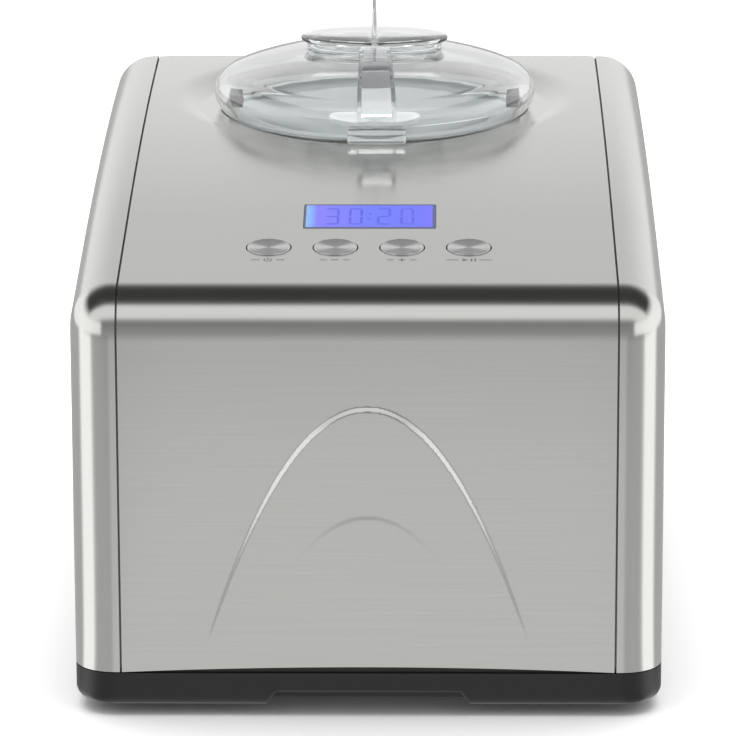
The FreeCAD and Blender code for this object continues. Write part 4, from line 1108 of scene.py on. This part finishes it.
DARK_GLASS = plastic("dark_glass", (0.03, 0.035, 0.10), 0.12, spread=0.05)
for index, node in enumerate(BUTTONS):
    dress(make_button(index), SPUN, node, "button_metal", node)
make_marks()
make_display()

# ---------- stage, light and camera

PAPER = 0.95
# How bright the paper looks in the metal, by bearing round a front corner (0 = forwards, 180 = rearwards).
MIRRORED_PAPER = ((0, 0.78), (3, 0.74), (10, 0.56), (46, 0.56), (53, 0.7), (61, 1.45), (92, 1.45),
                  (103, 0.6), (180, 0.5))
CORNER = (0.125, -0.195)
# How it darkens with the distance in front of the machine, in metres.
PAPER_FADE = ((0, 1.0), (0.56, 1.0), (0.72, 0.8), (2, 0.7))
PAPER_REACH = 14.0


class Bands:
    """Small node trees that turn a direction or a place into a grey level."""

    def __init__(self, tree):
        self.tree = tree

    def math(self, operation, *values):
        node = self.tree.nodes.new("ShaderNodeMath")
        node.operation = operation
        for socket, value in zip(node.inputs, values):
            if isinstance(value, (int, float)):
                socket.default_value = value
            else:
                self.tree.links.new(value, socket)
        return node.outputs[0]

    def split(self, vector):
        node = self.tree.nodes.new("ShaderNodeSeparateXYZ")
        self.tree.links.new(vector, node.inputs[0])
        return node.outputs

    def levels(self, source, stops, full, top=2.0):
        """A grey level from a list of (value, level), the values running from 0 to full."""
        node = self.tree.nodes.new("ShaderNodeValToRGB")
        elements = node.color_ramp.elements
        elements[0].position, elements[1].position = 0.0, 1.0
        for element, stop in ((elements[0], stops[0]), (elements[1], stops[-1])):
            element.color = (*[stop[1] / top] * 3, 1)
        for value, level in stops[1:-1]:
            elements.new(value / full).color = (*[level / top] * 3, 1)
        self.tree.links.new(self.math("DIVIDE", source, full), node.inputs[0])
        return self.math("MULTIPLY", node.outputs[0], top)

    def ray(self, kind):
        return self.tree.nodes.new("ShaderNodeLightPath").outputs["Is %s Ray" % kind]


def make_floor():
    """Pale paper; metal mirrors it in softer levels."""
    mesh = bpy.data.meshes.new("floor")
    reach = PAPER_REACH
    mesh.from_pydata([(-reach, -reach, 0), (reach, -reach, 0), (reach, reach, 0), (-reach, reach, 0)],
                     [], [[0, 1, 2, 3]])
    obj = placed("floor", mesh)
    look = Look("floor_paper", (PAPER, PAPER, PAPER), 0.0, 0.9)
    look.shader.inputs["Specular IOR Level"].default_value = 0.0
    look.vary_color(look.noise(3, 2), 0.005)
    bands = Bands(look.tree)
    x, y, _ = bands.split(look.coordinates)
    aside = bands.math("SUBTRACT", bands.math("ABSOLUTE", x), CORNER[0])
    ahead = bands.math("SUBTRACT", CORNER[1], y)
    bearing = bands.math("MAXIMUM", bands.math("ARCTAN2", aside, ahead), 0)
    level = bands.levels(bands.math("MULTIPLY", bearing, 180 / math.pi), MIRRORED_PAPER, 180)
    far = bands.levels(ahead, PAPER_FADE, PAPER_FADE[-1][0])
    glow = look.node("ShaderNodeEmission")
    look.link(bands.math("MULTIPLY", level, far), glow.inputs["Strength"])
    look.instead("Glossy", glow)
    obj.data.materials.append(look.material)


# Brightness of the studio in the metal, by angle from the front horizon over the top to the rear.
STUDIO = ((0, 0.42), (20, 0.32), (28, 0.24), (34, 0.45), (41, 1.05), (68, 1.05), (73, 0.3),
          (79, 0.08), (86, 0.045), (116, 0.05), (127, 0.1), (133, 0.24), (139, 0.48), (151, 0.8),
          (163, 1.0), (180, 1.05))
# The softbox at the sides, by how far a direction points sideways and how far up or down.
SIDE_SOFTBOX = ((0, 0), (0.36, 0), (0.5, 1.2), (1, 1.4))
SIDE_REACH = ((0, 1), (0.4, 1), (0.62, 0), (1, 0))
ROOM_LIGHT = 1.0
ROOM_SLANT = 0.5
FILL_POWER = 60.0
FILL_SIZE = 3.0
FILL_PLACE = (0.0, 0.5, 2.3)


def make_world():
    """An even room; metal mirrors it as bands of soft light."""
    world = bpy.data.worlds.new("studio")
    bpy.context.scene.world = world
    world.use_nodes = True
    tree = world.node_tree
    bands = Bands(tree)
    x, y, z = bands.split(tree.nodes.new("ShaderNodeTexCoord").outputs["Generated"])
    angle = bands.math("ARCTAN2", z, bands.math("MULTIPLY", y, -1))
    degrees = bands.math("MULTIPLY", bands.math("MAXIMUM", angle, 0), 180 / math.pi)
    over = bands.levels(degrees, STUDIO, 180)
    side = bands.levels(bands.math("ABSOLUTE", x), SIDE_SOFTBOX, 1)
    low = bands.levels(bands.math("ABSOLUTE", z), SIDE_REACH, 1)
    mirrored = bands.math("MAXIMUM", over, bands.math("MULTIPLY", side, low))
    share = bands.ray("Glossy")
    through = bands.ray("Transmission")
    room = bands.math("MULTIPLY_ADD", y, ROOM_SLANT, ROOM_LIGHT)
    rest = bands.math("SUBTRACT", bands.math("SUBTRACT", 1, share), through)
    even = bands.math("MULTIPLY_ADD", rest, room, through)
    level = bands.math("ADD", bands.math("MULTIPLY", share, mirrored), even)
    tree.nodes["Background"].inputs["Color"].default_value = (1, 1, 1, 1)
    tree.links.new(level, tree.nodes["Background"].inputs["Strength"])


def make_fill():
    """One large soft light overhead for the paper and the plastics, not mirrored in the metal."""
    data = bpy.data.lights.new("fill", "AREA")
    data.shape = "SQUARE"
    data.size = FILL_SIZE
    data.energy = FILL_POWER
    fill_light = placed("fill", data)
    fill_light.location = FILL_PLACE
    fill_light.visible_glossy = False


SENSOR_WIDTH = 36.0
LENS_LENGTH = 249.4565
CAMERA_REACH = 60.0
CAMERA_PLACE = (0.03356, -2.54944, 0.81866)
CAMERA_PAN = 0.813
CAMERA_DIP = 15.392
CAMERA_ROLL = -0.159


def make_camera():
    """A long lens in front of the machine, a little above it and to the right."""
    data = bpy.data.cameras.new("camera")
    data.sensor_width = SENSOR_WIDTH
    data.lens = LENS_LENGTH
    data.clip_end = CAMERA_REACH
    camera = placed("camera", data)
    turn = (Matrix.Rotation(math.radians(CAMERA_PAN), 4, "Z")
            @ Matrix.Rotation(math.radians(90 - CAMERA_DIP), 4, "X")
            @ Matrix.Rotation(math.radians(CAMERA_ROLL), 4, "Z"))
    camera.matrix_world = Matrix.Translation(CAMERA_PLACE) @ turn
    bpy.context.scene.camera = camera


make_floor()
make_world()
make_fill()
make_camera()
bpy.context.scene.view_settings.view_transform = "Standard"
